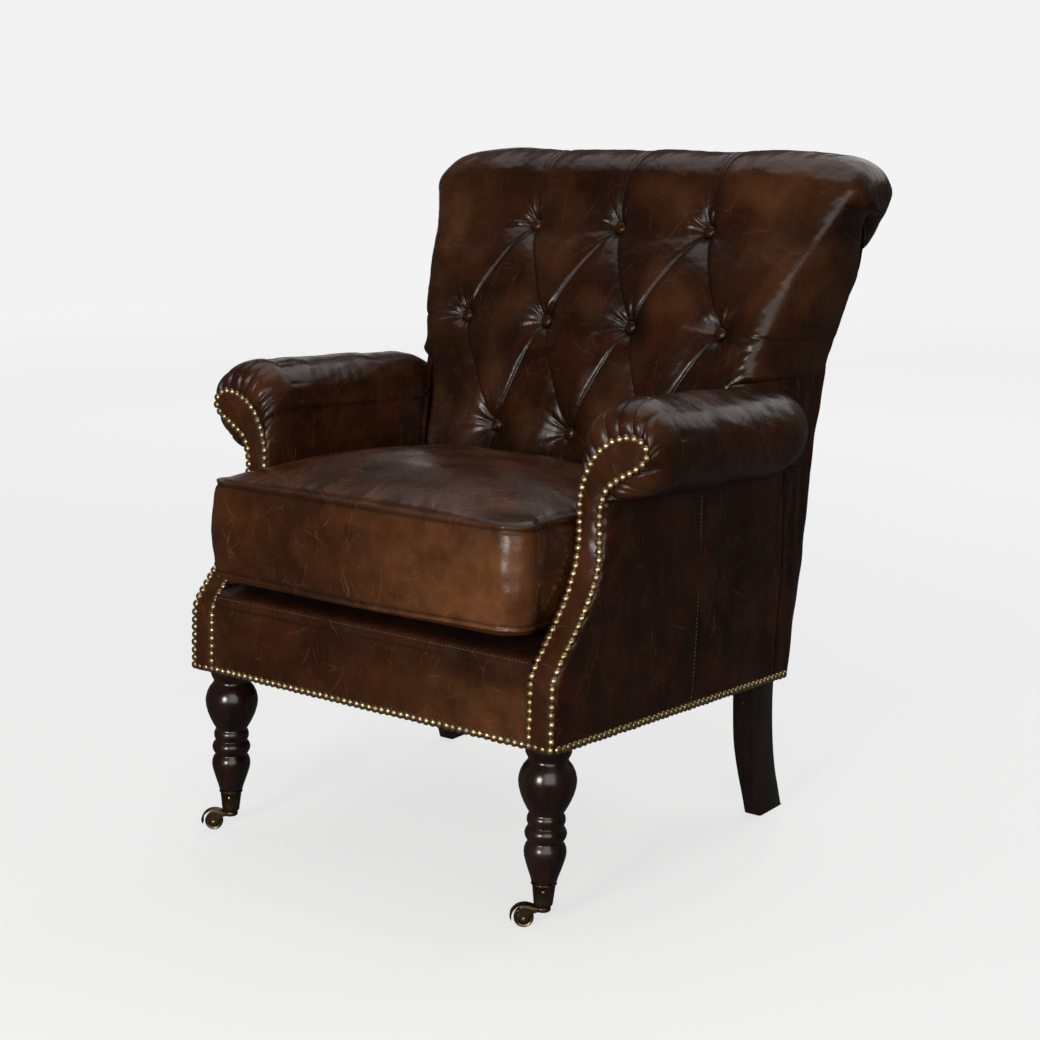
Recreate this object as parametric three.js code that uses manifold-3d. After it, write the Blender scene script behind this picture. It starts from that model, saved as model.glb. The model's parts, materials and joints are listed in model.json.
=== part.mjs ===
// Button-tufted leather library armchair on two caster legs. Millimetres, +Z up, the front faces -Y.
//
// Everything upholstered is drawn square, in "body" coordinates: y = 0 is the front rail's leather
// and z is the height above the front casters' floor. The body is then raked back over its legs.
import * as THREE from 'three';
import { mergeVertices } from 'three/addons/utils/BufferGeometryUtils.js';
import Module from 'manifold-3d';

const wasm = await Module();
wasm.setup();

const GAP = 0.4; // between pieces that touch on the real chair
const RAKE = THREE.MathUtils.degToRad(3.8); // the whole body leans back over its legs
const LEG_X = 273;
const LEG_Y = 38;
const FLOOR_AT_LEG = -7; // the floor's height, in body coordinates, under the front legs

// Base and rails
const BASE_HALF = 308; // half the width over the outside leather
const BASE_BOTTOM = 225;
const SKIN = 5; // leather with its thin wadding
const RAIL_TOP = 312;
const WOOD_OUT = 302; // outside face of the side rails, posts and arm rails
const WOOD_IN = 277;
const SIDE_SPLIT_Y = 304; // seam between the two outside arm panels

// Arms
const ARM_IN = 258; // inside face of the arm
const ROLL = { x: 318, z: 582, r: 62 };
const SCROLL_Y = 92; // front face of the arm scrolls
const ARM_REAR = 500;

// Seat
const DECK_TOP = 354;
const CUSHION = { front: -20, rear: 392, bottom: 357, lowSeam: 377, topSeam: 494, crown: 540 };
const CUSHION_HALF = 256;

// Back
const BACK_LOW_HALF = 256; // between the arms
const WING_Z = 652; // above the arms the back widens to its wings
const TOP_ROLL = { y: 620, z: 876, r: 79 };

// Nails and buttons
const NAIL_BAND = 8.6; // width of a row of nail heads
const NAIL_RISE = 2.4;
const NAIL_LIFT = 1.4; // clears the curve of the arm fronts
const NAIL_X_IN = 272;
const NAIL_X_OUT = 304;
const NAIL_LOW_Z = 230.5;
const BUTTON_R = 10;
const BUTTON_DEPTH = 25; // how far a button is pulled in below the padding

// Casters, in floor coordinates
const WHEEL_R = 12.5;
const WHEEL_W = 8;
const TRAIL = 24;
const TRAIL_ANGLE = THREE.MathUtils.degToRad(217); // both casters have swung the same way
const HORN_TOP = 26.6;

const V = (x, y, z) => new THREE.Vector3(x, y, z);

const leather = () => new THREE.MeshStandardMaterial({ color: 0x3a1a10, roughness: 0.42, metalness: 0 });
const darkWood = () => new THREE.MeshStandardMaterial({ color: 0x1e0d08, roughness: 0.35, metalness: 0 });
const frameWood = () => new THREE.MeshStandardMaterial({ color: 0xb08a5c, roughness: 0.8, metalness: 0 });
const brass = () => new THREE.MeshStandardMaterial({ color: 0x6b5630, roughness: 0.45, metalness: 1 });
const cloth = () => new THREE.MeshStandardMaterial({ color: 0x17120f, roughness: 0.95, metalness: 0 });
const jute = () => new THREE.MeshStandardMaterial({ color: 0x8a7250, roughness: 0.95, metalness: 0 });

// ---------- geometry helpers ----------

function signedVolume(geometry) {
  const p = geometry.attributes.position;
  const ix = geometry.index;
  let total = 0;
  for (let i = 0; i < ix.count; i += 3) {
    const a = V().fromBufferAttribute(p, ix.getX(i));
    const b = V().fromBufferAttribute(p, ix.getX(i + 1));
    const c = V().fromBufferAttribute(p, ix.getX(i + 2));
    total += a.dot(b.cross(c));
  }
  return total / 6;
}

function flip(geometry) {
  const ix = geometry.index;
  for (let i = 0; i < ix.count; i += 3) {
    const keep = ix.getX(i + 1);
    ix.setX(i + 1, ix.getX(i + 2));
    ix.setX(i + 2, keep);
  }
  return geometry;
}

function facingOut(geometry) {
  return signedVolume(geometry) < 0 ? flip(geometry) : geometry;
}

function welded(geometry) {
  geometry.deleteAttribute('normal');
  geometry.deleteAttribute('uv');
  return facingOut(mergeVertices(geometry, 1e-4));
}

// Closed rings of points, all with the same count, joined in order and capped at both ends.
function loft(rings) {
  const n = rings[0].length;
  const index = [];
  for (let r = 0; r + 1 < rings.length; r++) {
    for (let i = 0; i < n; i++) {
      const a = r * n + i;
      const b = r * n + ((i + 1) % n);
      index.push(a, b, b + n, a, b + n, a + n);
    }
  }
  const cap = (ring, base, reverse) => {
    const normal = V(0, 0, 0);
    ring.forEach((p, i) => normal.add(p.clone().cross(ring[(i + 1) % n])));
    const size = [Math.abs(normal.x), Math.abs(normal.y), Math.abs(normal.z)];
    const axis = size.indexOf(Math.max(...size));
    const flat = ring.map((p) => new THREE.Vector2(
      [p.y, p.z, p.x][axis],
      [p.z, p.x, p.y][axis],
    ));
    const ringArea = THREE.ShapeUtils.area(flat);
    for (const [a, b, c] of THREE.ShapeUtils.triangulateShape(flat, [])) {
      const sameWay = THREE.ShapeUtils.area([flat[a], flat[b], flat[c]]) * ringArea > 0;
      if (sameWay !== reverse) index.push(base + a, base + b, base + c);
      else index.push(base + a, base + c, base + b);
    }
  };
  cap(rings[0], 0, true);
  cap(rings[rings.length - 1], (rings.length - 1) * n, false);
  const geometry = new THREE.BufferGeometry();
  geometry.setAttribute('position', new THREE.Float32BufferAttribute(rings.flat().flatMap((p) => p.toArray()), 3));
  geometry.setIndex(index);
  return facingOut(geometry);
}

function outline(points) {
  return new THREE.Shape(points.map(([a, b]) => new THREE.Vector2(a, b)));
}

function extruded(points, depth, basis, shift) {
  const geometry = new THREE.ExtrudeGeometry(outline(points), { depth, bevelEnabled: false });
  geometry.applyMatrix4(new THREE.Matrix4().makeBasis(...basis));
  geometry.translate(...shift);
  return welded(geometry);
}

// An outline in (y, z), run along X.
const alongX = (points, x0, x1) => extruded(points, x1 - x0, [V(0, 1, 0), V(0, 0, 1), V(1, 0, 0)], [x0, 0, 0]);
// An outline in (x, z), run along Y.
const alongY = (points, y0, y1) => extruded(points, y1 - y0, [V(1, 0, 0), V(0, 0, 1), V(0, -1, 0)], [0, y1, 0]);

function block([x0, x1], [y0, y1], [z0, z1]) {
  const geometry = new THREE.BoxGeometry(x1 - x0, y1 - y0, z1 - z0);
  geometry.translate((x0 + x1) / 2, (y0 + y1) / 2, (z0 + z1) / 2);
  return welded(geometry);
}

function turned(profile, segments) {
  const geometry = new THREE.LatheGeometry(profile.map(([r, z]) => new THREE.Vector2(r, z)), segments);
  geometry.rotateX(Math.PI / 2);
  return welded(geometry);
}

function mirrored(geometry) {
  const copy = geometry.clone();
  copy.scale(-1, 1, 1);
  return facingOut(copy);
}

const onSide = (geometry, side) => (side < 0 ? mirrored(geometry) : geometry);

function toManifold(geometry) {
  return new wasm.Manifold(new wasm.Mesh({
    numProp: 3,
    vertProperties: new Float32Array(geometry.attributes.position.array),
    triVerts: new Uint32Array(geometry.index.array),
  }));
}

function fromManifold(solid) {
  const mesh = solid.getMesh();
  const geometry = new THREE.BufferGeometry();
  geometry.setAttribute('position', new THREE.Float32BufferAttribute(mesh.vertProperties, 3));
  geometry.setIndex(Array.from(mesh.triVerts));
  return geometry;
}

function joined(...geometries) {
  return fromManifold(geometries.map(toManifold).reduce((a, b) => a.add(b)));
}

function cut(geometry, ...tools) {
  return fromManifold(tools.map(toManifold).reduce((a, b) => a.subtract(b), toManifold(geometry)));
}

function piece(parent, name, geometry, material) {
  const flat = geometry.index ? geometry.toNonIndexed() : geometry;
  flat.computeVertexNormals();
  const mesh = new THREE.Mesh(flat, material);
  mesh.name = name;
  parent.add(mesh);
  return mesh;
}

const sideName = (side) => (side < 0 ? 'left' : 'right');

// ---------- shared outlines ----------

// The front line of the arms, as (y, z): upright at the rail, an ogee back, upright again at the scroll.
const ogee = new THREE.CubicBezierCurve(
  new THREE.Vector2(0, 308),
  new THREE.Vector2(2, 338),
  new THREE.Vector2(SCROLL_Y, 390),
  new THREE.Vector2(SCROLL_Y, 490),
);
const OGEE_STEPS = 10;
const ogeePoints = ogee.getPoints(OGEE_STEPS).map((p) => [p.x, p.y]);

function frontY(z) {
  if (z <= ogeePoints[0][1]) return 0;
  for (let i = 1; i < ogeePoints.length; i++) {
    const [y0, z0] = ogeePoints[i - 1];
    const [y1, z1] = ogeePoints[i];
    if (z <= z1) return y0 + ((y1 - y0) * (z - z0)) / (z1 - z0);
  }
  return SCROLL_Y;
}

// The same line set back by some depth, from a low height to a high one.
function frontLine(depth, low, high) {
  const inner = ogeePoints.filter(([, z]) => z > low + 2 && z < high - 2);
  return [[frontY(low), low], ...inner, [frontY(high), high]].map(([y, z]) => [y + depth, z]);
}

// The run of the nails up the inside of an arm front, round its scroll and down the outside, as (x, z).
const scrollRun = new THREE.CatmullRomCurve3([
  [NAIL_X_IN, NAIL_LOW_Z + 11], [NAIL_X_IN, 330], [271, 430], [268, 514], [271, 536], [278, 556],
  [289, 574], [306, 589], [328, 598], [349, 598], [361, 587], [360, 576], [350, 565], [334, 555],
  [318, 546], [305, 533], [298, 512], [297, 495], [300, 470], [NAIL_X_OUT, 430],
  [NAIL_X_OUT, 330], [NAIL_X_OUT, NAIL_LOW_Z + 11],
].map(([x, z]) => V(x, 0, z)), false, 'centripetal');

// The outside of the back, as y at a height.
const OUTSIDE_BACK = [[225, 547], [473, 577], [590, 586], [680, 598], [760, 612], [830, 640]];
// The padded front of the back, and the face of the wood behind the padding.
const BACK_FRONT = [
  [350, 398], [450, 403], [544, 414], [625, 430], [WING_Z - 3, 436], [WING_Z, 437],
  [706, 450], [745, 465], [780, 482], [815, 503], [843, 522],
];
const BACK_REAR = [[350, 470], [430, 505], [590, 540], [WING_Z - 3, 551], [WING_Z, 552], [760, 568], [846, 590]];
// Half the width of the wings.
const WING_HALF = [[WING_Z, 313], [700, 324], [781, 345], [861, 361], [917, 377], [960, 377]];

function along(table, z) {
  if (z <= table[0][0]) return table[0][1];
  for (let i = 1; i < table.length; i++) {
    const [z0, v0] = table[i - 1];
    const [z1, v1] = table[i];
    if (z <= z1) return v0 + ((v1 - v0) * (z - z0)) / (z1 - z0);
  }
  return table[table.length - 1][1];
}

// Button rows: height, spacing and how many; each row is centred on the chair.
const BUTTON_ROWS = [
  { z: 843, spacing: 152, count: 3 },
  { z: 706, spacing: 148, count: 4 },
  { z: 548, spacing: 132, count: 3 },
];

function buttons() {
  const found = [];
  BUTTON_ROWS.forEach(({ z, spacing, count }, row) => {
    const slope = (along(BACK_FRONT, z + 20) - along(BACK_FRONT, z - 20)) / 40;
    const tilt = Math.atan(slope);
    for (let i = 0; i < count; i++) {
      const x = (i - (count - 1) / 2) * spacing;
      const y = along(BACK_FRONT, z) + BUTTON_DEPTH * Math.cos(tilt);
      found.push({ name: `back_button_${row + 1}_${i + 1}`, x, y, z: z - BUTTON_DEPTH * Math.sin(tilt), tilt });
    }
  });
  return found;
}

// ---------- hardwood frame ----------

function addFrame(body) {
  const front = SKIN + 7;
  piece(body, 'front_rail', block([-238, 238], [front, front + 26], [232, RAIL_TOP]), frameWood());
  piece(body, 'back_rail', block([-WOOD_IN + GAP, WOOD_IN - GAP], [505, 530], [232, RAIL_TOP]), frameWood());
  piece(body, 'lower_back_rail', block([-WOOD_IN + GAP, WOOD_IN - GAP], [512, 534], [350, 400]), frameWood());
  const crest = [[600, 790], [621, 790], [650, 862], [616, 862]];
  piece(body, 'crest_rail', alongX(crest, -WOOD_IN + GAP, WOOD_IN - GAP), frameWood());
  for (const side of [-1, 1]) {
    const name = sideName(side);
    const rail = block([WOOD_IN, WOOD_OUT], [75, 468], [232, RAIL_TOP]);
    piece(body, `${name}_side_rail`, onSide(rail, side), frameWood());
    const top = 560;
    const post = [
      ...frontLine(SKIN + 2, 232, top),
      ...frontLine(SKIN + 2 + 50, RAIL_TOP + 4, top).reverse(),
      [SKIN + 2 + 50, 232],
    ];
    piece(body, `${name}_arm_post`, onSide(alongX(post, WOOD_IN, WOOD_OUT), side), frameWood());
    const armRail = block([WOOD_IN, WOOD_OUT], [152, 470], [530, 576]);
    piece(body, `${name}_arm_rail`, onSide(armRail, side), frameWood());
    const corner = [[WOOD_IN - GAP - 36, 75], [WOOD_IN - GAP, 75], [WOOD_IN - GAP, 112]];
    const cornerBlock = extruded(corner, 50, [V(1, 0, 0), V(0, 1, 0), V(0, 0, 1)], [0, 0, 250]);
    piece(body, `${name}_front_corner_block`, onSide(cornerBlock, side), frameWood());
    piece(body, `${name}_rear_leg_and_post`, onSide(rearLeg(), side), darkWood());
  }
}

// A rear leg and the back post above it are one piece of wood, as (y, z) outlines run across X.
function rearLeg() {
  const floor = (y) => FLOOR_AT_LEG + (y - LEG_Y) * Math.tan(RAKE);
  const frontEdge = [[518, floor(518)], [508, 52], [495, 90], [484, 135], [477, 185], [474, 228]];
  const rearEdge = [[538, 228], [539, 185], [546, 135], [556, 90], [570, 52], [580, floor(580)]];
  const post = [[474, 300], [532, 430], [548, 590], [576, 760], [604, 860]];
  const postRear = [[632, 860], [603, 760], [579, 640], [570, 500], [541, 300]];
  const shape = [...frontEdge, ...post, ...postRear, ...rearEdge];
  const inner = 266; // the legs stand a little in from the side
  const outer = 296;
  const solid = alongX(shape, inner, WOOD_OUT);
  // Below the rails the leg narrows to its foot.
  const below = [[400, -40], [700, -40], [700, 224], [400, 224]];
  const shave = alongX(below, outer, WOOD_OUT + 5);
  return cut(solid, shave, block([inner - 5, WOOD_IN], [440, 700], [231, 1000]));
}

// ---------- seat ----------

function addSeat(body) {
  const half = WOOD_IN - GAP;
  piece(body, 'seat_webbing', block([-half + 40, half - 40], [80, 500], [306, 309]), jute());
  piece(body, 'seat_deck_pad', block([-255, 255], [58, 396], [316, DECK_TOP]), cloth());
  piece(body, 'dust_cover', block([-262, 262], [SKIN + 8, 536], [BASE_BOTTOM + 2, BASE_BOTTOM + 3.5]), cloth());
}

function cushionRing(z, inset) {
  const ring = [];
  const corner = Math.max(26 - inset * 0.1, 12);
  const x = CUSHION_HALF - inset;
  const y0 = CUSHION.front + inset;
  const y1 = CUSHION.rear - inset;
  const arc = 4;
  const corners = [[x, y0, -90], [x, y1, 0], [-x, y1, 90], [-x, y0, 180]];
  for (const [cx, cy, start] of corners) {
    for (let i = 0; i <= arc; i++) {
      const a = THREE.MathUtils.degToRad(start + (90 * i) / arc);
      const px = cx - Math.sign(cx) * corner + corner * Math.cos(a);
      const py = cy + (cy === y0 ? corner : -corner) + corner * Math.sin(a);
      ring.push(V(px, py, z));
    }
  }
  return ring;
}

function cushionGeometry() {
  const { bottom, lowSeam, topSeam, crown } = CUSHION;
  const rise = crown - topSeam;
  return loft([
    cushionRing(bottom, 46),
    cushionRing(bottom + 6, 16),
    cushionRing(lowSeam, 2),
    cushionRing((lowSeam + topSeam) / 2, 0),
    cushionRing(topSeam, 4),
    cushionRing(topSeam + rise * 0.4, 34),
    cushionRing(topSeam + rise * 0.75, 84),
    cushionRing(crown, 160),
  ]);
}

// ---------- arms and outside panels ----------

// A round roll along Y, drawn in at its front where the leather is gathered behind the scroll.
function armRoll() {
  const steps = 22;
  const stations = [[SCROLL_Y + 6, 13], [SCROLL_Y + 11, 5], [SCROLL_Y + 22, 0], [ARM_REAR, 0]];
  return loft(stations.map(([y, inset]) => {
    const ring = [];
    for (let i = 0; i < steps; i++) {
      const a = (i / steps) * Math.PI * 2;
      const r = ROLL.r - inset;
      ring.push(V(ROLL.x + r * Math.cos(a), y, ROLL.z + r * Math.sin(a)));
    }
    return ring;
  }));
}

function armPad() {
  const low = 330;
  const wall = [...frontLine(SKIN + GAP, low, 575), [ARM_REAR, 575], [ARM_REAR, 420], [440, low]];
  const whole = joined(alongX(wall, ARM_IN, WOOD_IN - GAP), armRoll());
  const slot = block([WOOD_IN - GAP, WOOD_OUT + GAP], [SCROLL_Y + 5, ARM_REAR + 10], [400, 578]);
  return cut(whole, slot);
}

function armFacing() {
  const band = [...frontLine(0, BASE_BOTTOM, 500), ...frontLine(SKIN, BASE_BOTTOM, 500).reverse()];
  const margin = 5;
  const strip = alongX(band, NAIL_X_IN - margin, NAIL_X_OUT + 3);
  const scroll = scrollRun.getPoints(90).filter((p) => p.z > 470);
  const centre = V(318, 0, 560);
  const edge = scroll.map((p) => {
    const out = p.clone().sub(centre).setLength(margin);
    return p.z < 525 ? [p.x + Math.sign(p.x - 285) * margin, p.z] : [p.x + out.x, p.z + out.z];
  });
  const thin = edge.filter((_, i) => i % 2 === 0);
  return joined(strip, alongY(thin, SCROLL_Y - 0.3, SCROLL_Y + SKIN - 1));
}

function underRoll(y) {
  return 514 + (y - SCROLL_Y) * 0.012;
}

function addArms(body) {
  for (const side of [-1, 1]) {
    const name = sideName(side);
    piece(body, `${name}_arm_pad`, onSide(armPad(), side), leather());
    piece(body, `${name}_arm_facing`, onSide(armFacing(), side), leather());
    const split = SIDE_SPLIT_Y;
    const frontPanel = [
      ...frontLine(SKIN + 2 * GAP, BASE_BOTTOM, underRoll(0)),
      [split - GAP, underRoll(split)],
      [split - GAP, BASE_BOTTOM],
    ];
    const rearTop = [510, underRoll(510)];
    const rearPanel = [
      [split, BASE_BOTTOM],
      [split, underRoll(split)],
      rearTop,
      [510, 640],
      [along(OUTSIDE_BACK, 640) - GAP, 640],
      [along(OUTSIDE_BACK, 590) - GAP, 590],
      [along(OUTSIDE_BACK, 473) - GAP, 473],
      [along(OUTSIDE_BACK, BASE_BOTTOM) - GAP, BASE_BOTTOM],
    ];
    const outer = BASE_HALF;
    const inner = WOOD_OUT + GAP;
    const frontGeometry = alongX(frontPanel, inner, outer);
    const rearGeometry = alongX(rearPanel, inner, outer);
    piece(body, `${name}_outside_arm_front_panel`, onSide(frontGeometry, side), leather());
    piece(body, `${name}_outside_arm_rear_panel`, onSide(rearGeometry, side), leather());
  }
  const cover = [
    [0, BASE_BOTTOM], [0, 322], [6, 332], [20, 338], [56, 350],
    [56, 344], [22, 330], [SKIN + 5, 320], [SKIN + 5, BASE_BOTTOM],
  ];
  const half = NAIL_X_IN - 5 - GAP;
  const full = alongX(cover, -half, half);
  const armRoom = (s) => onSide(block([ARM_IN - GAP, half + 10], [SKIN, 80], [326, 400]), s);
  piece(body, 'front_border', cut(full, armRoom(1), armRoom(-1)), leather());
}

// ---------- back ----------

const frontOf = (low, high) => BACK_FRONT.filter(([z]) => z >= low && z <= high).map(([z, y]) => ({ z, y, front: 1 }));
const rearOf = (low, high) => BACK_REAR.filter(([z]) => z >= low && z <= high)
  .map(([z, y]) => ({ z, y, front: 0 })).reverse();

// The (y, z) outline of the back above the arms: up the front, over the roll, down behind.
function wingSection() {
  const arc = 9;
  const over = [];
  for (let i = 1; i <= arc; i++) {
    const a = THREE.MathUtils.degToRad(185 - (190 * i) / arc);
    const y = TOP_ROLL.y + TOP_ROLL.r * Math.cos(a);
    over.push({ z: TOP_ROLL.z + TOP_ROLL.r * Math.sin(a), y, front: Math.max(0, 1 - i / 5) });
  }
  const under = [[846, 684], [834, 660], [872, 658], [880, 612]].map(([z, y]) => ({ z, y, front: 0 }));
  return [...frontOf(WING_Z, 900), ...over, ...under, ...rearOf(WING_Z, 900)];
}

// A section run across the chair and rounded back towards its two ends.
function across(section, halfAt, rounding) {
  const stations = [-1, -0.985, -0.95, -0.89, -0.8, -0.4, 0, 0.4, 0.8, 0.89, 0.95, 0.985, 1];
  return loft(stations.map((s) => section.map((p) => {
    const e = Math.max(0, (Math.abs(s) - 0.8) / 0.2);
    const round = rounding * (1 - Math.sqrt(1 - e * e));
    const drop = p.z > TOP_ROLL.z + 4 && p.front > 0 ? round * 0.35 : 0;
    return V(s * halfAt(p.z), p.y + p.front * round, p.z - drop);
  })));
}

function backPad() {
  const low = [...frontOf(0, WING_Z - 3), { z: 665, y: 446, front: 1 }, { z: 665, y: 546, front: 0 }, ...rearOf(0, WING_Z - 3)];
  const lower = across(low, () => BACK_LOW_HALF, 14);
  const wings = across(wingSection(), (z) => along(WING_HALF, z), 42);
  const whole = joined(lower, wings);
  const pockets = buttons().map((b) => {
    const cone = turned([[0, -1], [BUTTON_R + 1.2, -1], [BUTTON_R + 1.6, 5], [34, BUTTON_DEPTH + 8], [0, BUTTON_DEPTH + 8]], 12);
    cone.rotateX(Math.PI / 2 + b.tilt * -1);
    cone.translate(b.x, b.y, b.z);
    return cone;
  });
  return cut(whole, ...pockets);
}

function buttonGeometry(b) {
  const dome = [[0, 0], [BUTTON_R, 0], [BUTTON_R, 2], [BUTTON_R * 0.72, 5], [0, 6.4]];
  const geometry = turned(dome, 12);
  geometry.rotateX(Math.PI / 2 + b.tilt * -1);
  geometry.translate(b.x, b.y - 0.3, b.z);
  return geometry;
}

function addBack(body) {
  piece(body, 'tufted_back', backPad(), leather());
  for (const b of buttons()) piece(body, b.name, buttonGeometry(b), leather());
  const zs = [BASE_BOTTOM, 473, 590, 646, WING_Z, 700, 760, 826];
  const rings = zs.map((z) => {
    const y = along(OUTSIDE_BACK, z);
    const half = z < WING_Z ? BASE_HALF : along(WING_HALF, z) - SKIN - GAP;
    return [V(-half, y, z), V(half, y, z), V(half, y + SKIN, z), V(-half, y + SKIN, z)];
  });
  piece(body, 'outside_back_panel', loft(rings), leather());
  for (const side of [-1, 1]) {
    const panelZ = [WING_Z, 700, 760, 826];
    const panel = loft(panelZ.map((z) => {
      const x = along(WING_HALF, z);
      const y1 = along(OUTSIDE_BACK, z) + SKIN;
      const y0 = along(BACK_REAR, z) + GAP;
      return [V(x - SKIN, y0, z), V(x, y0, z), V(x, y1, z), V(x - SKIN, y1, z)];
    }));
    piece(body, `${sideName(side)}_back_side_panel`, onSide(panel, side), leather());
  }
}

// ---------- nail trim ----------

// A low band the width of the nail heads, laid along points that each carry the leather's outward normal.
function nailBand(points) {
  const rings = points.map(({ p, n }, i) => {
    const before = points[Math.max(i - 1, 0)].p;
    const after = points[Math.min(i + 1, points.length - 1)].p;
    const tangent = after.clone().sub(before).normalize();
    const across = tangent.clone().cross(n).normalize();
    const up = across.clone().cross(tangent).normalize();
    const rise = Math.sign(up.dot(n));
    const at = (w, h) => p.clone().addScaledVector(across, w).addScaledVector(up, h * rise);
    const w = NAIL_BAND / 2;
    const top = NAIL_LIFT + NAIL_RISE;
    return [at(-w, NAIL_LIFT), at(w, NAIL_LIFT), at(w * 0.55, top), at(-w * 0.55, top)];
  });
  return loft(rings);
}

function addNails(body) {
  const run = (a, b, n, steps) => Array.from({ length: steps + 1 }, (_, i) => ({ p: a.clone().lerp(b, i / steps), n }));
  const reach = NAIL_X_OUT;
  const frontRow = run(V(-reach, 0, NAIL_LOW_Z), V(reach, 0, NAIL_LOW_Z), V(0, -1, 0), 1);
  piece(body, 'front_nail_row', nailBand(frontRow), brass());
  const scroll = scrollRun.getSpacedPoints(110).map((q) => {
    const slope = (frontY(q.z + 3) - frontY(q.z - 3)) / 6;
    return { p: V(q.x, frontY(q.z), q.z), n: V(0, -1, slope).normalize() };
  }).filter((_, i) => i % 2 === 0);
  const sideRow = run(V(BASE_HALF, 7, NAIL_LOW_Z), V(BASE_HALF, 540, NAIL_LOW_Z), V(1, 0, 0), 1);
  for (const side of [-1, 1]) {
    piece(body, `${sideName(side)}_arm_nail_row`, onSide(nailBand(scroll), side), brass());
    piece(body, `${sideName(side)}_side_nail_row`, onSide(nailBand(sideRow), side), brass());
  }
}

// ---------- front legs ----------

const LEG_PROFILE = [
  [0, 224], [29, 224], [29, 214], [27, 209], [25, 206],
  [31, 198], [35, 188], [36, 180], [34, 168], [28, 154], [21, 141],
  [23.8, 135], [23.8, 128], [21.6, 123],
  [25, 119], [26.2, 114], [25, 109], [21.8, 104],
  [25.4, 98], [26.4, 90], [24, 76], [19, 62], [15.2, 51],
  [12.6, 50.6], [9.4, 27], [0, 27],
];

const FERRULE_PROFILE = [
  [4, 21.4], [11.8, 21.4], [13, 24], [15.4, 50.2], [13.1, 50.2], [9.9, 26.2], [4, 26.2], [4, 21.4],
];

function addFrontLegs(body) {
  for (const side of [-1, 1]) {
    const name = sideName(side);
    const leg = turned([...LEG_PROFILE].reverse(), 24);
    leg.translate(side * LEG_X, LEG_Y, 0);
    piece(body, `${name}_front_leg`, leg, darkWood());
    const ferrule = turned(FERRULE_PROFILE, 24);
    ferrule.translate(side * LEG_X, LEG_Y, 0);
    piece(body, `${name}_caster_cup`, ferrule, brass());
  }
}

// ---------- casters, upright on the floor whatever the leg's rake ----------

function hornGeometry() {
  const reach = WHEEL_R + 4;
  const side = [[-9, HORN_TOP], [-9, HORN_TOP - 5], [4, HORN_TOP - 5.5]];
  const cheek = 7;
  for (let a = 170; a <= 360; a += 38) {
    const t = THREE.MathUtils.degToRad(a);
    side.push([TRAIL + cheek * Math.cos(t), WHEEL_R + cheek * Math.sin(t)]);
  }
  for (let a = 20; a <= 100; a += 20) {
    const t = THREE.MathUtils.degToRad(a);
    side.push([TRAIL + reach * Math.cos(t), WHEEL_R + reach * Math.sin(t)]);
  }
  side.push([8, HORN_TOP]);
  const half = WHEEL_W / 2 + 3.2;
  const arm = alongY(side, -half, half);
  const boss = turned([[0, HORN_TOP - 5], [9.5, HORN_TOP - 5], [9.5, HORN_TOP + 0.6], [3, HORN_TOP + 0.6], [3, HORN_TOP + 6], [0, HORN_TOP + 6]], 20);
  const room = turned([[0, -WHEEL_W / 2 - 0.6], [WHEEL_R + 1, -WHEEL_W / 2 - 0.6], [WHEEL_R + 1, WHEEL_W / 2 + 0.6], [0, WHEEL_W / 2 + 0.6]], 24);
  room.rotateX(Math.PI / 2);
  room.translate(TRAIL, 0, WHEEL_R);
  const hole = turned([[0, -20], [2.3, -20], [2.3, 20], [0, 20]], 16);
  hole.rotateX(Math.PI / 2);
  hole.translate(TRAIL, 0, WHEEL_R);
  return cut(joined(arm, boss), room, hole);
}

function wheelGeometry() {
  const w = WHEEL_W / 2;
  const profile = [
    [2.3, -w], [7, -w], [8, -w + 1], [10, -w + 1], [WHEEL_R - 1, -w], [WHEEL_R, -w + 1.6],
    [WHEEL_R, w - 1.6], [WHEEL_R - 1, w], [10, w - 1], [8, w - 1], [7, w], [2.3, w], [2.3, -w],
  ];
  const geometry = turned(profile, 24);
  geometry.rotateX(Math.PI / 2);
  geometry.translate(TRAIL, 0, WHEEL_R);
  return geometry;
}

function axleGeometry() {
  const half = WHEEL_W / 2 + 4.2;
  const geometry = turned([[0, -half - 0.6], [1.4, -half - 0.6], [2, -half], [2, half], [1.4, half + 0.6], [0, half + 0.6]], 16);
  geometry.rotateX(Math.PI / 2);
  geometry.translate(TRAIL, 0, WHEEL_R);
  return geometry;
}

function addCasters(chair, place) {
  for (const side of [-1, 1]) {
    const name = sideName(side);
    const caster = new THREE.Group();
    const foot = place(V(side * LEG_X, LEG_Y, 21));
    caster.position.set(foot.x, foot.y, 0);
    caster.rotation.z = TRAIL_ANGLE;
    chair.add(caster);
    piece(caster, `${name}_caster_horn`, hornGeometry(), brass());
    piece(caster, `${name}_caster_wheel`, wheelGeometry(), brass());
    piece(caster, `${name}_caster_axle`, axleGeometry(), brass());
  }
}

// ---------- the chair ----------

const chair = new THREE.Group();
chair.name = 'armchair';
const body = new THREE.Group();
body.rotation.x = -RAKE;
body.position.z = LEG_Y * Math.sin(RAKE) - FLOOR_AT_LEG * Math.cos(RAKE);
chair.add(body);
body.updateMatrix();
const toFloor = (p) => p.applyMatrix4(body.matrix);

addFrame(body);
addSeat(body);
piece(body, 'seat_cushion', cushionGeometry(), leather());
addArms(body);
addBack(body);
addNails(body);
addFrontLegs(body);
addCasters(chair, toFloor);

// The origin is under the middle of the chair's outside box.
const bounds = new THREE.Box3().setFromObject(chair, true);
const middle = bounds.getCenter(V());
for (const child of chair.children) {
  child.position.x -= middle.x;
  child.position.y -= middle.y;
}

export default chair;
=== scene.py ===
"""Leather library armchair: buttoned scroll back, rolled arms, loose cushion, nail trim, legs on casters."""
import json
import math

import bmesh
import bpy
import numpy as np
from mathutils import Matrix, Vector


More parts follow.
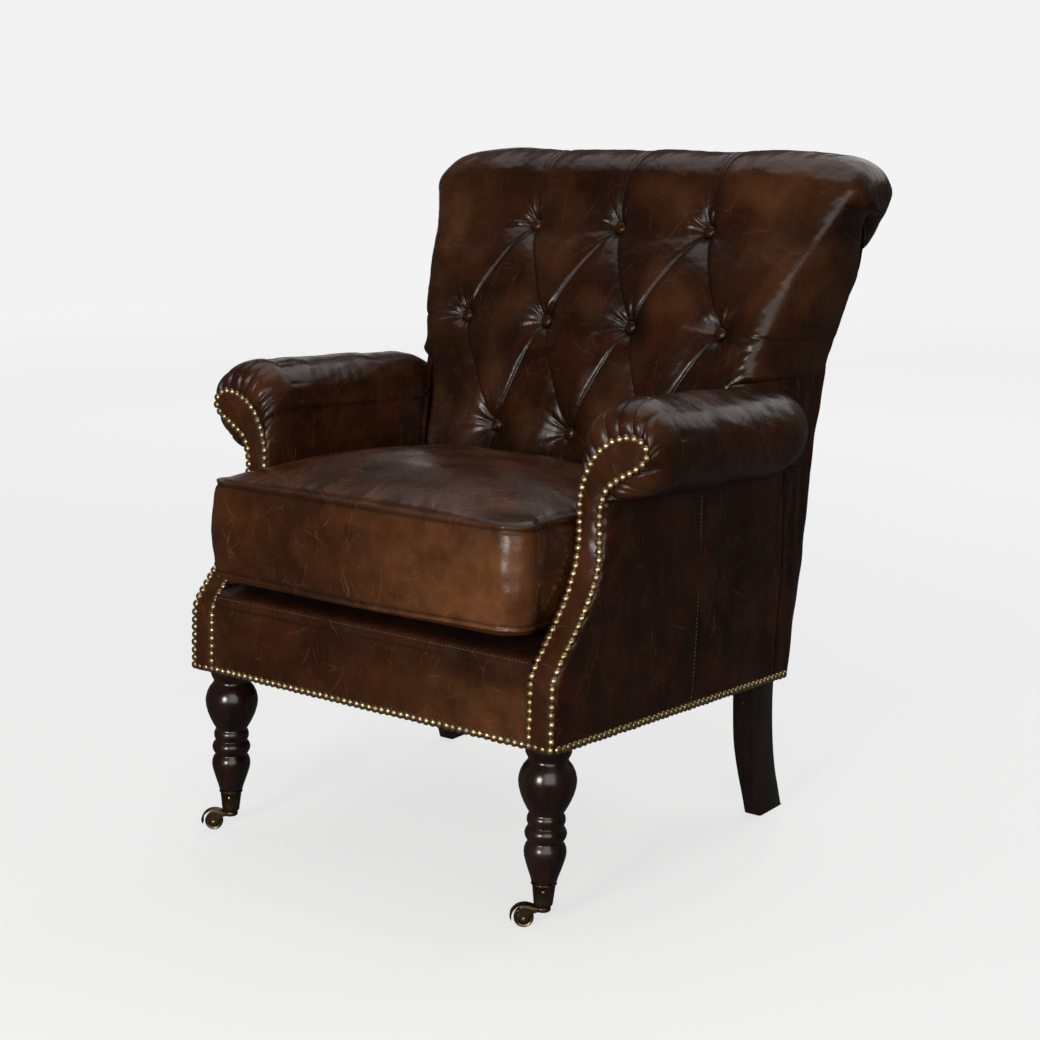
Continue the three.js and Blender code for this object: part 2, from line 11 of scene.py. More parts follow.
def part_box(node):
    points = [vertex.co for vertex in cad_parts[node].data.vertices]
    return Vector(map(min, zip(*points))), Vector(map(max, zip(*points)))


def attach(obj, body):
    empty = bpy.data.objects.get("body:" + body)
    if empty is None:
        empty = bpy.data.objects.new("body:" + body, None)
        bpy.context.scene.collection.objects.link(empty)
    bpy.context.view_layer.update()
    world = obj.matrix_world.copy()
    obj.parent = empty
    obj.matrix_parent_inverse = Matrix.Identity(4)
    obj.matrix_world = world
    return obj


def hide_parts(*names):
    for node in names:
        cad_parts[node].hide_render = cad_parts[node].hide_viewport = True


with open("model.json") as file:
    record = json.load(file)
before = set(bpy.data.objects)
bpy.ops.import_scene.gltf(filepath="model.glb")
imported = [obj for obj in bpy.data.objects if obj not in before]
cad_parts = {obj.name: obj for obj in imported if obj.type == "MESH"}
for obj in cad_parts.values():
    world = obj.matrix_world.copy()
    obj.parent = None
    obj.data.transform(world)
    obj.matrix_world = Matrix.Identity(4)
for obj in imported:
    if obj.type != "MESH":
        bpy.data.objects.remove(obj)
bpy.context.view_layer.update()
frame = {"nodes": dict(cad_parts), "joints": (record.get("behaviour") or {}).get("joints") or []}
MM = 0.001

# The upholstered body is drawn square in "body" coordinates (millimetres, y = 0 at the front rail)
# and raked back over its legs, as the CAD part is.
RAKE = math.radians(3.8)
DUST_Y, DUST_LOW, DUST_HIGH = 13.0, 227.0, 228.5
dust_low, dust_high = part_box("dust_cover")
BODY_Y = dust_low.y - MM * (DUST_Y * math.cos(RAKE) + DUST_LOW * math.sin(RAKE))
BODY_Z = dust_high.z - MM * (DUST_HIGH * math.cos(RAKE) - DUST_Y * math.sin(RAKE))
BODY = Matrix.Translation((0, BODY_Y, BODY_Z)) @ Matrix.Rotation(-RAKE, 4, "X") @ Matrix.Scale(MM, 4)

BASE_HALF = 308.0
BASE_BOTTOM = 225.0
SCROLL_Y = 92.0
ROLL = (318.0, 582.0, 62.0)
ARM_REAR = 500.0
ARM_IN = 258.0
SPLIT_Y = 304.0
REAR_SEAM = 508.0
NAIL_PITCH = 10.65
NAIL_R = 5.25
NAIL_Z = 230.5
FRONT_NAILS, SIDE_NAILS = 58, 51
BUTTON_UP = 4.0
SCROLL_TOP_Z = 490.0
PANEL_TOP_Z = 521.0
SIDES = ((-1, "left"), (1, "right"))
RNG = np.random.default_rng(7)


def side_name(side):
    return "left" if side < 0 else "right"


# ---------------------------------------------------------------- small maths

def along(table, t):
    xs, ys = zip(*table)
    return np.interp(t, xs, ys)


def smooth(a, b, t):
    """0 at a and 1 at b, easing at both ends; a may be the larger."""
    k = np.clip((t - a) / (b - a), 0, 1)
    return k * k * (3 - 2 * k)


def spline(points, count):
    """A smooth curve through the points, cut into equal lengths."""
    p = np.array(points, float)
    p = np.vstack([2 * p[0] - p[1], p, 2 * p[-1] - p[-2]])
    out = []
    for i in range(1, len(p) - 2):
        a, b, c, d = p[i - 1], p[i], p[i + 1], p[i + 2]
        for t in np.linspace(0, 1, 24, endpoint=False):
            out.append(0.5 * (2 * b + (c - a) * t + (2 * a - 5 * b + 4 * c - d) * t**2
                              + (3 * b - a - 3 * c + d) * t**3))
    out.append(p[-2])
    return resample(np.array(out), count)


def resample(line, count):
    step = np.r_[0, np.cumsum(np.linalg.norm(np.diff(line, axis=0), axis=1))]
    at = np.linspace(0, step[-1], count)
    return np.stack([np.interp(at, step, line[:, k]) for k in range(line.shape[1])], 1)


def lengths(line):
    return np.r_[0, np.cumsum(np.linalg.norm(np.diff(line, axis=0), axis=1))]


def lumps(x, y, size, seed, octaves=2):
    """Slow, even noise from about -1 to 1 over millimetre coordinates."""
    rng = np.random.default_rng(seed)
    total = np.zeros(np.broadcast(x, y).shape)
    gain = 1.0
    for _ in range(octaves):
        for _ in range(6):
            a = rng.uniform(0, 2 * math.pi)
            f = rng.uniform(0.6, 1.4) / size
            phase = 2 * math.pi * f * (x * math.cos(a) + y * math.sin(a)) + rng.uniform(0, 6.3)
            total += gain * np.sin(phase) / 3
        gain *= 0.5
        size *= 0.5
    return total


# The front line of the arms: upright at the rail, an ogee back, upright again at the scroll.
_t = np.linspace(0, 1, 60)[:, None]
_ogee = ((1 - _t) ** 3 * [0, 308] + 3 * (1 - _t) ** 2 * _t * [2, 338]
         + 3 * (1 - _t) * _t**2 * [SCROLL_Y, 390] + _t**3 * [SCROLL_Y, 490])


def front_y(z):
    return np.interp(z, _ogee[:, 1], _ogee[:, 0])


SCROLL_RUN = [
    (272, 241), (272, 330), (271, 430), (268, 514), (271, 536), (278, 556), (289, 574), (306, 589),
    (328, 598), (349, 598), (361, 587), (360, 576), (350, 565), (334, 555), (318, 546), (305, 533),
    (298, 512), (297, 495), (300, 470), (304, 430), (304, 330), (304, 241),
]
OUTSIDE_BACK = [(225, 547), (473, 577), (590, 586), (680, 598), (760, 612), (830, 640)]
WING_HALF = [(668, 316), (700, 324), (781, 342), (861, 358), (917, 375), (960, 377)]


# ---------------------------------------------------------------- meshes

def new_object(name, verts, faces, material, body="armchair", matrix=BODY, smooth_shade=True, marks=None):
    """A mesh piece riding on a body. The marks are per-point values kept as mesh attributes."""
    mesh = bpy.data.meshes.new(name)
    mesh.from_pydata([tuple(v) for v in verts], [], faces)
    for key, values in (marks or {}).items():
        attribute = mesh.attributes.new(key, "FLOAT", "POINT")
        attribute.data.foreach_set("value", np.asarray(values, np.float32).ravel())
    mesh.transform(matrix)
    whole = bmesh.new()
    whole.from_mesh(mesh)
    bmesh.ops.remove_doubles(whole, verts=whole.verts, dist=1e-5)
    bmesh.ops.dissolve_degenerate(whole, edges=whole.edges, dist=1e-6)
    whole.to_mesh(mesh)
    whole.free()
    mesh.update()
    obj = bpy.data.objects.new(name, mesh)
    bpy.context.scene.collection.objects.link(obj)
    mesh.materials.append(material)
    if smooth_shade:
        mesh.polygons.foreach_set("use_smooth", [True] * len(mesh.polygons))
    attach(obj, body)
    return obj


def stands_for(obj, slot, *nodes):
    """Put a piece in the place of its CAD nodes, by hiding them; the slot is not used."""
    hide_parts(*nodes)


def ring_solid(name, rings, material, reverse=False, **kw):
    """A closed solid from rings of points, with a flat face at each end."""
    g = np.array(rings)
    count = g.shape[1]
    faces = grid_faces(g.shape[0], count, True)
    last = (g.shape[0] - 1) * count
    faces += [list(range(count))[::-1], [last + k for k in range(count)]]
    if reverse:
        faces = [f[::-1] for f in faces]
    return new_object(name, g.reshape(-1, 3), faces, material, **kw)


def grid_faces(rows, columns, wrap=False, offset=0):
    i = np.arange(rows - 1)[:, None]
    last = columns if wrap else columns - 1
    j = np.arange(last)[None, :]
    a = i * columns + j
    b = i * columns + (j + 1) % columns
    quads = np.stack([a, b, b + columns, a + columns], -1).reshape(-1, 4) + offset
    return quads.tolist()


def sheet_object(name, grid, material, side=1, wrap=False, flip=False, marks=None, **kw):
    """A surface from a rows x columns grid of points."""
    g = np.array(grid, float)
    g[..., 0] *= side
    faces = grid_faces(g.shape[0], g.shape[1], wrap)
    if (side < 0) != flip:
        faces = [f[::-1] for f in faces]
    return new_object(name, g.reshape(-1, 3), faces, material, marks=marks, **kw)


def lathe_object(name, profile, segments, material, matrix, body="armchair"):
    """A turned shape from its (radius, height) profile, listed from the bottom up."""
    angles = np.linspace(0, 2 * math.pi, segments, endpoint=False)
    rings = [[(r * math.cos(a), r * math.sin(a), z) for a in angles] for r, z in profile]
    g = np.array(rings)
    faces = grid_faces(len(profile), segments, True)
    return new_object(name, g.reshape(-1, 3), faces, material, body, matrix)


# ---------------------------------------------------------------- materials

class Nodes:
    """A material's node tree, written in short calls."""

    def __init__(self, name):
        self.material = bpy.data.materials.new(name)
        self.material.use_nodes = True
        self.tree = self.material.node_tree
        self.shader = self.tree.nodes["Principled BSDF"]
        self.coords = self.add("ShaderNodeTexCoord").outputs["Object"]

    def add(self, kind, inputs=None, **settings):
        node = self.tree.nodes.new(kind)
        for key, value in settings.items():
            setattr(node, key, value)
        for key, value in (inputs or {}).items():
            self.put(node.inputs[key], value)
        return node

    def put(self, socket, value):
        if isinstance(value, bpy.types.NodeSocket):
            self.tree.links.new(value, socket)
        else:
            socket.default_value = value

    def noise(self, scale, detail=2.0, rough=0.5, vector=None, distortion=0.0):
        node = self.add("ShaderNodeTexNoise", {
            "Vector": vector or self.coords, "Scale": scale, "Detail": detail,
            "Roughness": rough, "Distortion": distortion})
        return node.outputs["Fac"]

    def stretch(self, vector, scale, turn=(0, 0, 0)):
        node = self.add("ShaderNodeMapping", {"Vector": vector, "Scale": scale, "Rotation": turn})
        return node.outputs["Vector"]

    def cells(self, scale, feature="F1", vector=None):
        inputs = {"Vector": vector or self.coords, "Scale": scale}
        node = self.add("ShaderNodeTexVoronoi", inputs, feature=feature)
        return node.outputs["Distance"]

    def span(self, value, a, b, low=0.0, high=1.0):
        node = self.add("ShaderNodeMapRange", {
            "Value": value, "From Min": a, "From Max": b, "To Min": low, "To Max": high})
        return node.outputs["Result"]

    def math(self, operation, a, b=0.0):
        node = self.add("ShaderNodeMath", operation=operation)
        self.put(node.inputs[0], a)
        self.put(node.inputs[1], b)
        return node.outputs["Value"]

    def mix(self, fac, a, b, mode="MIX"):
        node = self.add("ShaderNodeMix", data_type="RGBA", blend_type=mode)
        self.put(node.inputs[0], fac)
        self.put(node.inputs[6], a if isinstance(a, bpy.types.NodeSocket) else (*a, 1))
        self.put(node.inputs[7], b if isinstance(b, bpy.types.NodeSocket) else (*b, 1))
        return node.outputs[2]

    def mark(self, name):
        return self.add("ShaderNodeAttribute", attribute_name=name).outputs["Fac"]

    def bump(self, height, strength, distance, after=None):
        inputs = {"Height": height, "Strength": strength, "Distance": distance}
        if after is not None:
            inputs["Normal"] = after
        return self.add("ShaderNodeBump", inputs).outputs["Normal"]


def leather_material(name, brown=0.0, tone=1.0, scratched=0.30):
    """Waxed antique leather: mottled dark and red brown, paler where it is worn, with shade painted darker
    into its creases, seam grooves and crevices.
    """
    n = Nodes(name)
    shade = lambda r, g, b: (r * tone, g * tone, b * tone)
    clouds = n.span(n.noise(5.5, 4, 0.6, distortion=0.8), 0.34, 0.70)
    blotch = n.span(n.noise(15, 5, 0.62, distortion=0.5), 0.44, 0.74)
    base = n.mix(clouds, shade(0.0165, 0.0047, 0.0014), shade(0.041, 0.0120, 0.0036))
    base = n.mix(n.math("MULTIPLY", blotch, 0.66), base, shade(0.100, 0.0265, 0.0072))
    rub = n.math("ADD", n.math("MULTIPLY", n.mark("wear"), 0.95), brown)
    patches = n.span(n.noise(21, 6, 0.7), 0.34, 0.72)
    rub = n.math("MULTIPLY", rub, n.math("ADD", n.math("MULTIPLY", patches, 0.7), 0.3))
    base = n.mix(rub, base, shade(0.230, 0.088, 0.031))
    # Fine creases and scratches, paler than the finish: long broken lines, mostly up and down.
    bend = n.add("ShaderNodeTexNoise", {"Vector": n.coords, "Scale": 12.0, "Detail": 2.0}).outputs["Color"]
    bent = n.add("ShaderNodeVectorMath", operation="MULTIPLY_ADD")
    n.put(bent.inputs[0], bend)
    bent.inputs[1].default_value = (0.035, 0.035, 0.035)
    n.put(bent.inputs[2], n.coords)
    bent = bent.outputs["Vector"]
    marks = []
    for scale, wide, turn, keep, long in ((17.0, 0.010, 0.25, 0.47, (1.0, 1.0, 0.28)),
                                          (29.0, 0.014, -0.3, 0.50, (1.0, 1.0, 0.4)),
                                          (23.0, 0.011, 0.2, 0.52, (0.4, 0.4, 1.0))):
        edge = n.cells(scale, "DISTANCE_TO_EDGE", n.stretch(bent, long, (turn, turn * 0.7, turn)))
        line = n.span(edge, 0.0, wide, 1.0, 0.0)
        broken = n.span(n.noise(scale * 1.3, 3.0, 0.6), keep, keep + 0.14)
        marks.append(n.math("MULTIPLY", line, broken))
    scratch = n.math("MAXIMUM", n.math("MAXIMUM", marks[0], marks[1]), marks[2])
    base = n.mix(n.math("MULTIPLY", scratch, scratched), base, shade(0.30, 0.125, 0.048))
    # Painted shade: this mark darkens the leather to near black in creases, seam grooves, button hollows and
    # under the cushion; it also makes it rougher there.
    recess_shade = n.mark("recess_shade")
    base = n.mix(n.math("MULTIPLY", recess_shade, 0.9), base, (0.003, 0.0013, 0.0007))
    n.put(n.shader.inputs["Base Color"], base)
    rough = n.span(n.noise(26, 4, 0.6), 0.3, 0.72, 0.20, 0.38)
    n.put(n.shader.inputs["Roughness"], n.math("ADD", rough, n.math("MULTIPLY", recess_shade, 0.25)))
    n.shader.inputs["Specular IOR Level"].default_value = 0.33
    n.shader.inputs["Coat Weight"].default_value = 0.08
    n.shader.inputs["Coat Roughness"].default_value = 0.20
    pebble = n.cells(560, "SMOOTH_F1")
    grain = n.math("ADD", n.math("MULTIPLY", pebble, 0.7), n.math("MULTIPLY", n.noise(1300, 2, 0.5), 0.5))
    normal = n.bump(grain, 0.30, 0.0004)
    normal = n.bump(scratch, -0.35, 0.0006, normal)
    veins = n.math("ABSOLUTE", n.math("SUBTRACT", n.noise(48, 3, 0.6, distortion=0.7), 0.5))
    normal = n.bump(n.span(veins, 0.0, 0.12), 0.12, 0.0010, normal)
    n.put(n.shader.inputs["Normal"], normal)
    return n.material


def wood_material(name, dark, light, gloss, grain_scale=1.0):
    n = Nodes(name)
    along_z = n.stretch(n.coords, (60 * grain_scale, 60 * grain_scale, 4 * grain_scale))
    fibres = n.noise(1.0, 6, 0.65, along_z, 0.4)
    streak = n.span(fibres, 0.35, 0.7)
    base = n.mix(streak, dark, light)
    stain = n.math("MULTIPLY", n.span(n.noise(14, 3), 0.5, 0.8), 0.5)
    base = n.mix(stain, base, tuple(c * 0.4 for c in dark))
    n.put(n.shader.inputs["Base Color"], base)
    n.put(n.shader.inputs["Roughness"], n.span(n.noise(22, 4), 0.3, 0.7, gloss, gloss + 0.16))
    n.shader.inputs["Coat Weight"].default_value = 0.5
    n.shader.inputs["Coat Roughness"].default_value = 0.14
    n.put(n.shader.inputs["Normal"], n.bump(fibres, 0.12, 0.0004))
    return n.material


def brass_material(name, bright, dark):
    n = Nodes(name)
    tarnish = n.span(n.noise(160, 4, 0.65), 0.38, 0.68)
    n.put(n.shader.inputs["Base Color"], n.mix(tarnish, bright, dark))
    n.shader.inputs["Metallic"].default_value = 1.0
    n.put(n.shader.inputs["Roughness"], n.span(tarnish, 0, 1, 0.30, 0.52))
    n.put(n.shader.inputs["Normal"], n.bump(n.noise(700, 3), 0.12, 0.0003))
    return n.material


def cloth_material(name, colour, scale=900):
    n = Nodes(name)
    wave_a = n.add("ShaderNodeTexWave", {"Vector": n.coords, "Scale": scale / 6.3}, bands_direction="X")
    wave_b = n.add("ShaderNodeTexWave", {"Vector": n.coords, "Scale": scale / 6.3}, bands_direction="Y")
    weave = n.math("MULTIPLY", wave_a.outputs["Fac"], wave_b.outputs["Fac"])
    base = n.mix(weave, tuple(c * 0.5 for c in colour), colour)
    base = n.mix(n.math("MULTIPLY", n.noise(40, 3), 0.3), base, tuple(c * 0.6 for c in colour))
    n.put(n.shader.inputs["Base Color"], base)
    n.shader.inputs["Roughness"].default_value = 0.95
    n.put(n.shader.inputs["Normal"], n.bump(weave, 0.4, 0.0005))
    return n.material


LEATHER = leather_material("antique_leather")
LEATHER_BACK = leather_material("antique_leather_dark", 0.0, 0.74, 0.26)
LEATHER_SEAT = leather_material("antique_leather_worn", 0.04, 1.24, 0.34)
DARK_WOOD = wood_material("dark_walnut", (0.0060, 0.0022, 0.0013), (0.036, 0.0125, 0.0065), 0.20)
PLUG_WOOD = wood_material("plug_walnut", (0.035, 0.015, 0.008), (0.085, 0.036, 0.018), 0.3)
FRAME_WOOD = wood_material("raw_hardwood", (0.30, 0.18, 0.09), (0.48, 0.32, 0.17), 0.7)
NAIL_BRASS = brass_material("antique_nails", (0.72, 0.53, 0.29), (0.22, 0.145, 0.07))
CASTER_BRASS = brass_material("antique_caster", (0.24, 0.17, 0.09), (0.07, 0.046, 0.026))
THREAD = cloth_material("waxed_thread", (0.30, 0.20, 0.12), 4000)
CLOTH = cloth_material("black_cambric", (0.012, 0.011, 0.010))
JUTE = cloth_material("jute_webbing", (0.30, 0.22, 0.12), 500)


# ---------------------------------------------------------------- tufted back

# Up the front of the back, over the roll and down behind it, as (y, z).
def back_line(count):
    front = [(398, 345), (400, 400), (404, 450), (414, 544), (430, 625), (450, 706), (482, 780), (520, 843)]
    y0, z0, r = 620, 876, 79
    roll = [(y0 + r * math.cos(math.radians(a)), z0 + r * math.sin(math.radians(a)))
            for a in (162, 140, 115, 90, 65, 40, 15, -10, -35)]
    return spline(front + roll + [(664, 815), (649, 815), (643, 822)], count)


def buttons():
    """Each button's node, and its middle in body coordinates."""
    found = []
    back = BODY.inverted()
    for name in sorted(frame["nodes"]):
        if name.startswith("back_button"):
            low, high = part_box(name)
            found.append((name, back @ ((low + high) / 2)))
    return found


def back_surface():
    rows, half_columns = ((430, 240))
    line = back_line(rows)
    q = lengths(line)
    top_q = q[np.argmax(line[:, 1])]
    tangent = np.gradient(line, axis=0)
    tangent /= np.linalg.norm(tangent, axis=1)[:, None]
    normal = np.stack([-tangent[:, 1], tangent[:, 0]], 1)

    middle = []
    for name, p in buttons():
        at = np.argmin(np.hypot(line[:, 0] - p.y, line[:, 1] - p.z - BUTTON_UP))
        middle.append((name, p.x, q[at]))
    row = {k: sorted((x, w) for n, x, w in middle if n.startswith(f"back_button_{k}")) for k in (1, 2, 3)}

    # Each pleat: start, end, depth at the start, along its middle and at the end, and how wide it spreads.
    pleats = []
    for upper, lower in ((row[1], row[2]), (row[3], row[2])):
        for x, w in upper:
            for x2, w2 in lower:
                if abs(x - x2) < 110:
                    pleats.append(((x, w), (x2, w2), 20, 7.6 if upper is row[1] else 5.6, 20,
                                   1.0 if upper is row[1] else 0.7))
    for x, w in row[1]:
        for lean, depth in ((-15, 5.0), (0, 6.4), (13, 5.4)):
            pleats.append(((x + 0.15 * lean, w), (x + lean, top_q + 60), 14, depth, 2.0, 0.42))
    for x, w in (row[2][0], row[2][-1]):
        outside = math.copysign(1, x)
        pleats.append(((x, w), (outside * 345, w - 12), 13, 5.2, 4.0, 0.40))
        pleats.append(((x, w), (outside * 330, w - 44), 12, 2.2, 0.8, 0.5))
    for x, w in row[3]:
        pleats.append(((x, w), (x * 0.96, 0), 18, 6.0, 6.0, 1.0))

    # Across: flat, then rounded right back to the seam with the outside back. Below the wings the leather
    # is held between the arms, and its edge follows the round of the arm rolls.
    s = np.linspace(-1, 1, 2 * half_columns - 1)
    z_line = line[:, 1]
    up = np.clip((z_line - ROLL[1]) / (ROLL[2] + 1.0), 0, 1)
    over_roll = ROLL[0] - ROLL[2] * np.sqrt(1 - up**2)
    half = np.where(z_line < 645, np.minimum(over_roll, 314), along(WING_HALF, z_line))
    half = half - 5 * smooth(top_q - 90, top_q, q)
    half = np.convolve(np.pad(half, 3, "edge"), np.ones(7) / 7, "valid")
    lift = smooth(606, 662, z_line)
    turn = 16 * (1 - lift) + 58 * lift
    flat = 1 - turn / half
    flat_s = 0.74
    inside = np.abs(s) <= flat_s
    theta = np.clip((np.abs(s) - flat_s) / (1 - flat_s), 0, 1) * math.pi / 2
    x_unit = np.where(inside[None, :], np.abs(s)[None, :] / flat_s * flat[:, None],
                      flat[:, None] + (1 - flat[:, None]) * np.sin(theta)[None, :])
    x = half[:, None] * x_unit * np.sign(s)[None, :]
    roll_part = smooth(775, 872, z_line)
    roll_part[q > top_q] = 1
    core = np.array([620.0, 872.0])
    disc = core + 0.46 * (line - core)
    spine_y = (along(OUTSIDE_BACK, np.minimum(z_line, 830)) + 3) * (1 - roll_part) + disc[:, 0] * roll_part
    spine_z = z_line * (1 - roll_part) + disc[:, 1] * roll_part
    spine_y = line[:, 0] + (spine_y - line[:, 0]) * (0.15 + 0.85 * lift)
    back_share = ((1 - np.cos(theta)) ** 1.35)[None, :]
    qq = np.repeat(q[:, None], len(s), 1)

    total = np.zeros_like(x)
    recess_shade = np.zeros_like(x)
    for (xa, qa), (xb, qb), da, dm, db, wide in pleats:
        d = np.array([xb - xa, qb - qa])
        length = np.hypot(*d)
        u = np.clip(((x - xa) * d[0] + (qq - qa) * d[1]) / length**2, 0, 1)
        off_x = x - (xa + u * d[0])
        off_q = qq - (qa + u * d[1])
        dist = np.hypot(off_x, off_q)
        upper = off_q + 0.35 * np.abs(off_x) > 0 if abs(d[0]) > 20 else off_x > 0
        ends = dm + (da - dm) * np.exp(-u * length / 20)
        if db > dm:
            ends = ends + (db - dm) * np.exp(-(1 - u) * length / 20)
        else:
            ends = ends + (db - dm) * smooth(0.2, 1, u)
        lip = 0.60 * np.exp(-dist / (1.9 * wide + 0.5)) + 0.40 * np.exp(-dist / (38 * wide))
        rise = 0.22 * np.exp(-dist / (5 * wide)) + 0.78 * np.exp(-dist / (30 * wide))
        total += (ends * np.where(upper, lip, rise)) ** 3
        # Painted shade along the crease of each pleat, deepest where the pleat is deep.
        sharp = np.exp(-(dist / 1.5) ** 2) * np.clip(ends / 11, 0.15, 1)
        recess_shade = np.maximum(recess_shade, sharp)
    for _, bx, bq in middle:
        r = np.hypot(x - bx, qq - bq)
        a = np.arctan2(qq - bq, x - bx)
        gather = np.zeros_like(r)
        for k, gain in ((8, 1.0), (13, 1.0), (19, 0.6)):
            gather += np.sin(k * a + RNG.uniform(0, 6.3)) * gain
        ahead = 0.25 + 0.75 * np.clip(np.sin(a + RNG.uniform(-0.9, 0.3)), 0, 1)
        gather *= ahead * (np.exp(-((r - 17) / 10) ** 2) + 0.35 * np.exp(-((r - 34) / 16) ** 2))
        hollow = 22.5 * np.exp(-(np.clip(r - 6, 0, None) / 21) ** 0.85)
        total += np.clip(hollow + 1.25 * gather, 0, None) ** 3
        # Painted shade in a ring round each button's hollow.
        recess_shade = np.maximum(recess_shade, np.exp(-((r - 8.6) / 1.8) ** 2) * 0.9)
    depth = np.minimum(np.cbrt(total), 23.5)
    depth += 1.4 * lumps(x, qq, 130, 3) + 0.3 * lumps(x, qq, 34, 5)
    low_q = q[np.argmin(np.abs(z_line - 668))]
    crumple = np.exp(-((qq - low_q) / 34) ** 2 - ((np.abs(x) - 262) / 46) ** 2)
    depth += 0.6 * crumple * lumps(x * 0.7 + qq * 0.7, (x - qq) * 2.0, 56, 9)
    tuck = np.exp(-((qq - 60) / 70) ** 2)
    depth += 0.9 * tuck * lumps(x * 1.6, qq, 80, 13)
    # Small pulls where the leather is drawn round to the seam at the outside back.
    pull = smooth(0.45, 0.95, back_share + 0 * x) * lift[:, None] * (1 - roll_part[:, None])
    depth += 0.7 * pull * lumps(x * 0.4, qq * 2.0, 30, 15)
    fade = (1 - 0.8 * back_share)
    ny = normal[:, 0][:, None]
    nz = normal[:, 1][:, None]
    y = line[:, 0][:, None] * (1 - back_share) + spine_y[:, None] * back_share - ny * depth * fade
    z = z_line[:, None] * (1 - back_share) + spine_z[:, None] * back_share - nz * depth * fade
    droop = smooth(0.70, 1.0, np.abs(x) / 377) * smooth(top_q - 150, top_q - 40, qq)
    z = z - 10 * droop * smooth(top_q + 120, top_q, qq)
    x = x - np.sign(s)[None, :] * depth * 0.45 * np.sin(theta)[None, :] * (depth < 8)
    grid = np.stack([x, y, z], -1)
    # Each end of the roll is closed by a round facing.
    caps = []
    for column in (0, -1):
        edge = grid[:, column]
        centre = np.column_stack([edge[:, 0] + np.sign(edge[0, 0]) * 3, 0 * q + core[0], 0 * q + core[1]])
        way = (centre - edge) * roll_part[:, None]
        caps.append([edge + way * t for t in (0.02, 0.10, 0.35, 0.7, 1.0)])
    left_cap = np.stack(caps[0][::-1], 1)
    right_cap = np.stack(caps[1], 1)
    grid = np.concatenate([left_cap, grid, right_cap], 1)
    # Painted shade round the rim where each roll facing meets the back.
    rim = 0.8 * roll_part[:, None] * np.array([[1.0, 0.4, 0, 0, 0]])
    recess_shade = np.concatenate([rim[:, ::-1], recess_shade, rim], 1)
    open_part = np.clip(1 - depth / 10, 0, 1)
    wear = 0.55 * np.clip(lumps(x, qq, 170, 21), 0, 1) * open_part
    wear += 0.30 * np.exp(-((qq - top_q) / 90) ** 2) * np.clip(lumps(x, qq, 120, 31), 0, 1)
    wear += 0.35 * open_part * np.exp(-((np.abs(x) - 270) / 60) ** 2) * smooth(640, 700, z)
    wear = np.pad(wear, ((0, 0), (5, 5)))
    obj = sheet_object("back_leather", grid, LEATHER_BACK, marks={"recess_shade": recess_shade, "wear": wear})
    stands_for(obj, "leather", "tufted_back", "left_back_side_panel", "right_back_side_panel")


def back_buttons():
    lean = {"1": 0.42, "2": 0.26, "3": 0.13}
    for name, p in buttons():
        angle = lean[name.split("_")[2]] + RAKE
        facing = Vector((0, -math.cos(angle), math.sin(angle)))
        low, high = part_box(name)
        spot = (low + high) / 2 + Vector((0, 0, BUTTON_UP * MM)) + facing * 0.0025
        aim = facing.to_track_quat("Z", "Y").to_matrix().to_4x4()
        matrix = Matrix.Translation(spot) @ aim @ Matrix.Scale(MM, 4)
        profile = [(0.01, -5.5), (7.4, -5.5), (8.6, -2.6), (9.0, -0.8), (8.5, 1.0), (7.2, 2.4), (5.3, 3.4),
                   (2.8, 4.0), (0.01, 4.2)]
        obj = lathe_object(name + "_cover", round_off(profile, 3), 32, LEATHER, matrix)
        stands_for(obj, "leather", name)


# ---------------------------------------------------------------- arms

def arm_curves(count):
    """The nail line and the outer surface of one arm, point for point, as (x, z)."""
    run = spline(SCROLL_RUN, 600)
    up = run[:, 1] >= 345
    first = np.argmax(up)
    tip = np.argmax(run[:, 0])
    after = np.argmax((np.arange(len(run)) > tip) & (run[:, 1] < 512))
    nails = run[first:after]
    cx, cz, r = ROLL
    angles = np.radians(np.linspace(180, -99, 120))
    roll = np.stack([cx + r * np.cos(angles), cz + r * np.sin(angles)], 1)
    outer = np.vstack([[(ARM_IN, z) for z in np.linspace(345, cz - 6, 60)], roll])
    # Below z = 500 the two run side by side; above it they are matched by length.
    lower = int(count * 0.32)
    upper = count - lower
    split_n = np.argmax(nails[:, 1] > 500)
    split_o = np.argmax(outer[:, 1] > 500)
    n = np.vstack([resample(nails[:split_n + 1], lower), resample(nails[split_n:], upper + 1)[1:]])
    o = np.vstack([resample(outer[:split_o + 1], lower), resample(outer[split_o:], upper + 1)[1:]])
    return n, o


